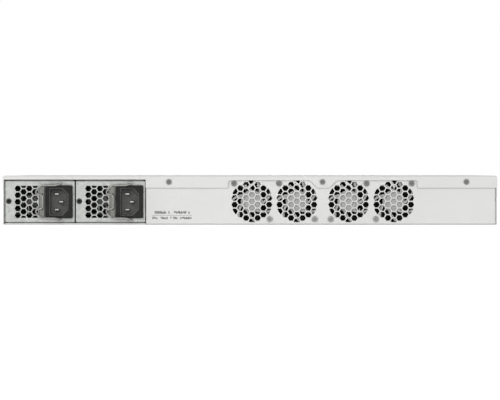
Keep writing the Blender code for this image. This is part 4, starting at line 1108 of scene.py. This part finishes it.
MARK_GROUPS = (
    (0.0111, 0.0024, ((0.0854, 0.0747), (0.0730, 0.0721), (0.0681, 0.0570), (0.0553, 0.0542))),
    (0.0061, 0.0021, ((0.0874, 0.0824), (0.0800, 0.0736), (0.0712, 0.0703), (0.0690, 0.0648), (0.0626, 0.0524))),
)


def rear_marks():
    """Short dashes and a broken rule where the panel is printed, in place of any wording."""
    bm = bmesh.new()
    y, rng = PANEL_OUT, random.Random(7)
    for middle_z, tall, groups in MARK_GROUPS:
        for start, end in groups:
            x = start
            while x > end + 0.0003:
                run = min(rng.uniform(0.00040, 0.00085), x - end)
                bottom, top = rng.choice(((-0.5, 0.5), (-0.5, 0.5), (-0.5, 0.2), (-0.2, 0.5)))
                add_box(bm, (x - run, y - 0.00001, middle_z + bottom * tall), (x, y + 0.00002, middle_z + top * tall))
                x -= run + rng.uniform(0.00022, 0.00036)
    x = 0.0874
    while x > 0.0526:
        run = rng.uniform(0.0005, 0.0011)
        add_box(bm, (x - run, y - 0.00001, 0.0083), (x, y + 0.00002, 0.0086))
        x -= run + 0.0004
    piece("rear_panel_dashes", bm, "chassis", "black_plastic", PRINT, smooth=0)


# ---- Assemble
VIEW_WIDTH = 0.4478
CAMERA_RISE = 0.0262


def finishes():
    for finish, nodes in (
        (PAINT, ("base_tray", "front_panel")),
        # The module cage wears the darker copy of the zinc, which paints the shade inside the chassis.
        (ZINC_SHADED_INNER, ("psu_cage",)),
        (BOARD, ("main_board",)),
        (ALUMINIUM, ("switch_heatsink", "cpu_heatsink")),
        (BLACK, ("power_backplane", *JACKS, "reset_button")),
        (PORT_METAL, CAGES),
    ):
        for node in nodes:
            wear(NODES[node], finish)


def area_light(name, at, aim, size, power, mirrored=False):
    lamp = bpy.data.lights.new(name, "AREA")
    lamp.shape, lamp.size, lamp.size_y, lamp.energy = "RECTANGLE", size[0], size[1], power
    holder = put(name, lamp, at)
    holder.rotation_euler = (Vector(aim) - Vector(at)).to_track_quat("-Z", "Y").to_euler()
    holder.visible_glossy = mirrored


def tent(tree, matt, bright):
    """One value as the light that falls on matt surfaces, another where the backdrop is seen or mirrored."""
    path, node = tree.nodes.new("ShaderNodeLightPath"), tree.nodes.new("ShaderNodeMapRange")
    node.inputs["To Min"].default_value, node.inputs["To Max"].default_value = bright, matt
    tree.links.new(path.outputs["Is Diffuse Ray"], node.inputs["Value"])
    return node.outputs["Result"]


def surroundings():
    floor = put("floor", mesh_of("floor", box((-6, -6, -0.02), (6, 6, 0.0))))
    pale = plain("pale_floor", (0.93, 0.93, 0.93), 0.7, amount=0.01, bumps=3)
    shader = pale.node_tree.nodes["Principled BSDF"]
    shader.inputs["Emission Color"].default_value = (1, 1, 1, 1)
    pale.node_tree.links.new(tent(pale.node_tree, 0.0, 0.66), shader.inputs["Emission Strength"])
    floor.data.materials.append(pale)
    world = bpy.data.worlds.new("soft_white")
    scene.world = world
    world.use_nodes = True
    background = world.node_tree.nodes["Background"]
    background.inputs["Color"].default_value = (1, 1, 1, 1)
    world.node_tree.links.new(tent(world.node_tree, 0.38, 1.0), background.inputs["Strength"])
    area_light("key", (0.25, 2.5, 0.50), (0, 0.1, 0.02), (1.8, 1.0), 31.5)
    area_light("fill", (-0.6, -2.6, 0.7), (0, -0.1, 0.02), (1.8, 1.0), 24)
    area_light("glint", (1.5, 1.4, 2.2), (0.1, 0.1, 0.02), (0.5, 0.4), 4, mirrored=True)
    camera = bpy.data.cameras.new("camera")
    camera.lens, camera.sensor_width = 200, 36
    distance = VIEW_WIDTH * camera.lens / camera.sensor_width
    holder = put("camera", camera, (0, REAR_Y + distance, HEIGHT / 2 + CAMERA_RISE))
    aim = Vector((0, REAR_Y, HEIGHT / 2 + 0.00022))
    holder.rotation_euler = (aim - holder.location).to_track_quat("-Z", "Y").to_euler()
    camera.clip_start, camera.clip_end = 0.1, 60
    scene.camera = holder
    scene.view_settings.view_transform = "Standard"


finishes()
cover()
rear_plate()
screws()
fans()
supplies()
ports()
rear_marks()
surroundings()
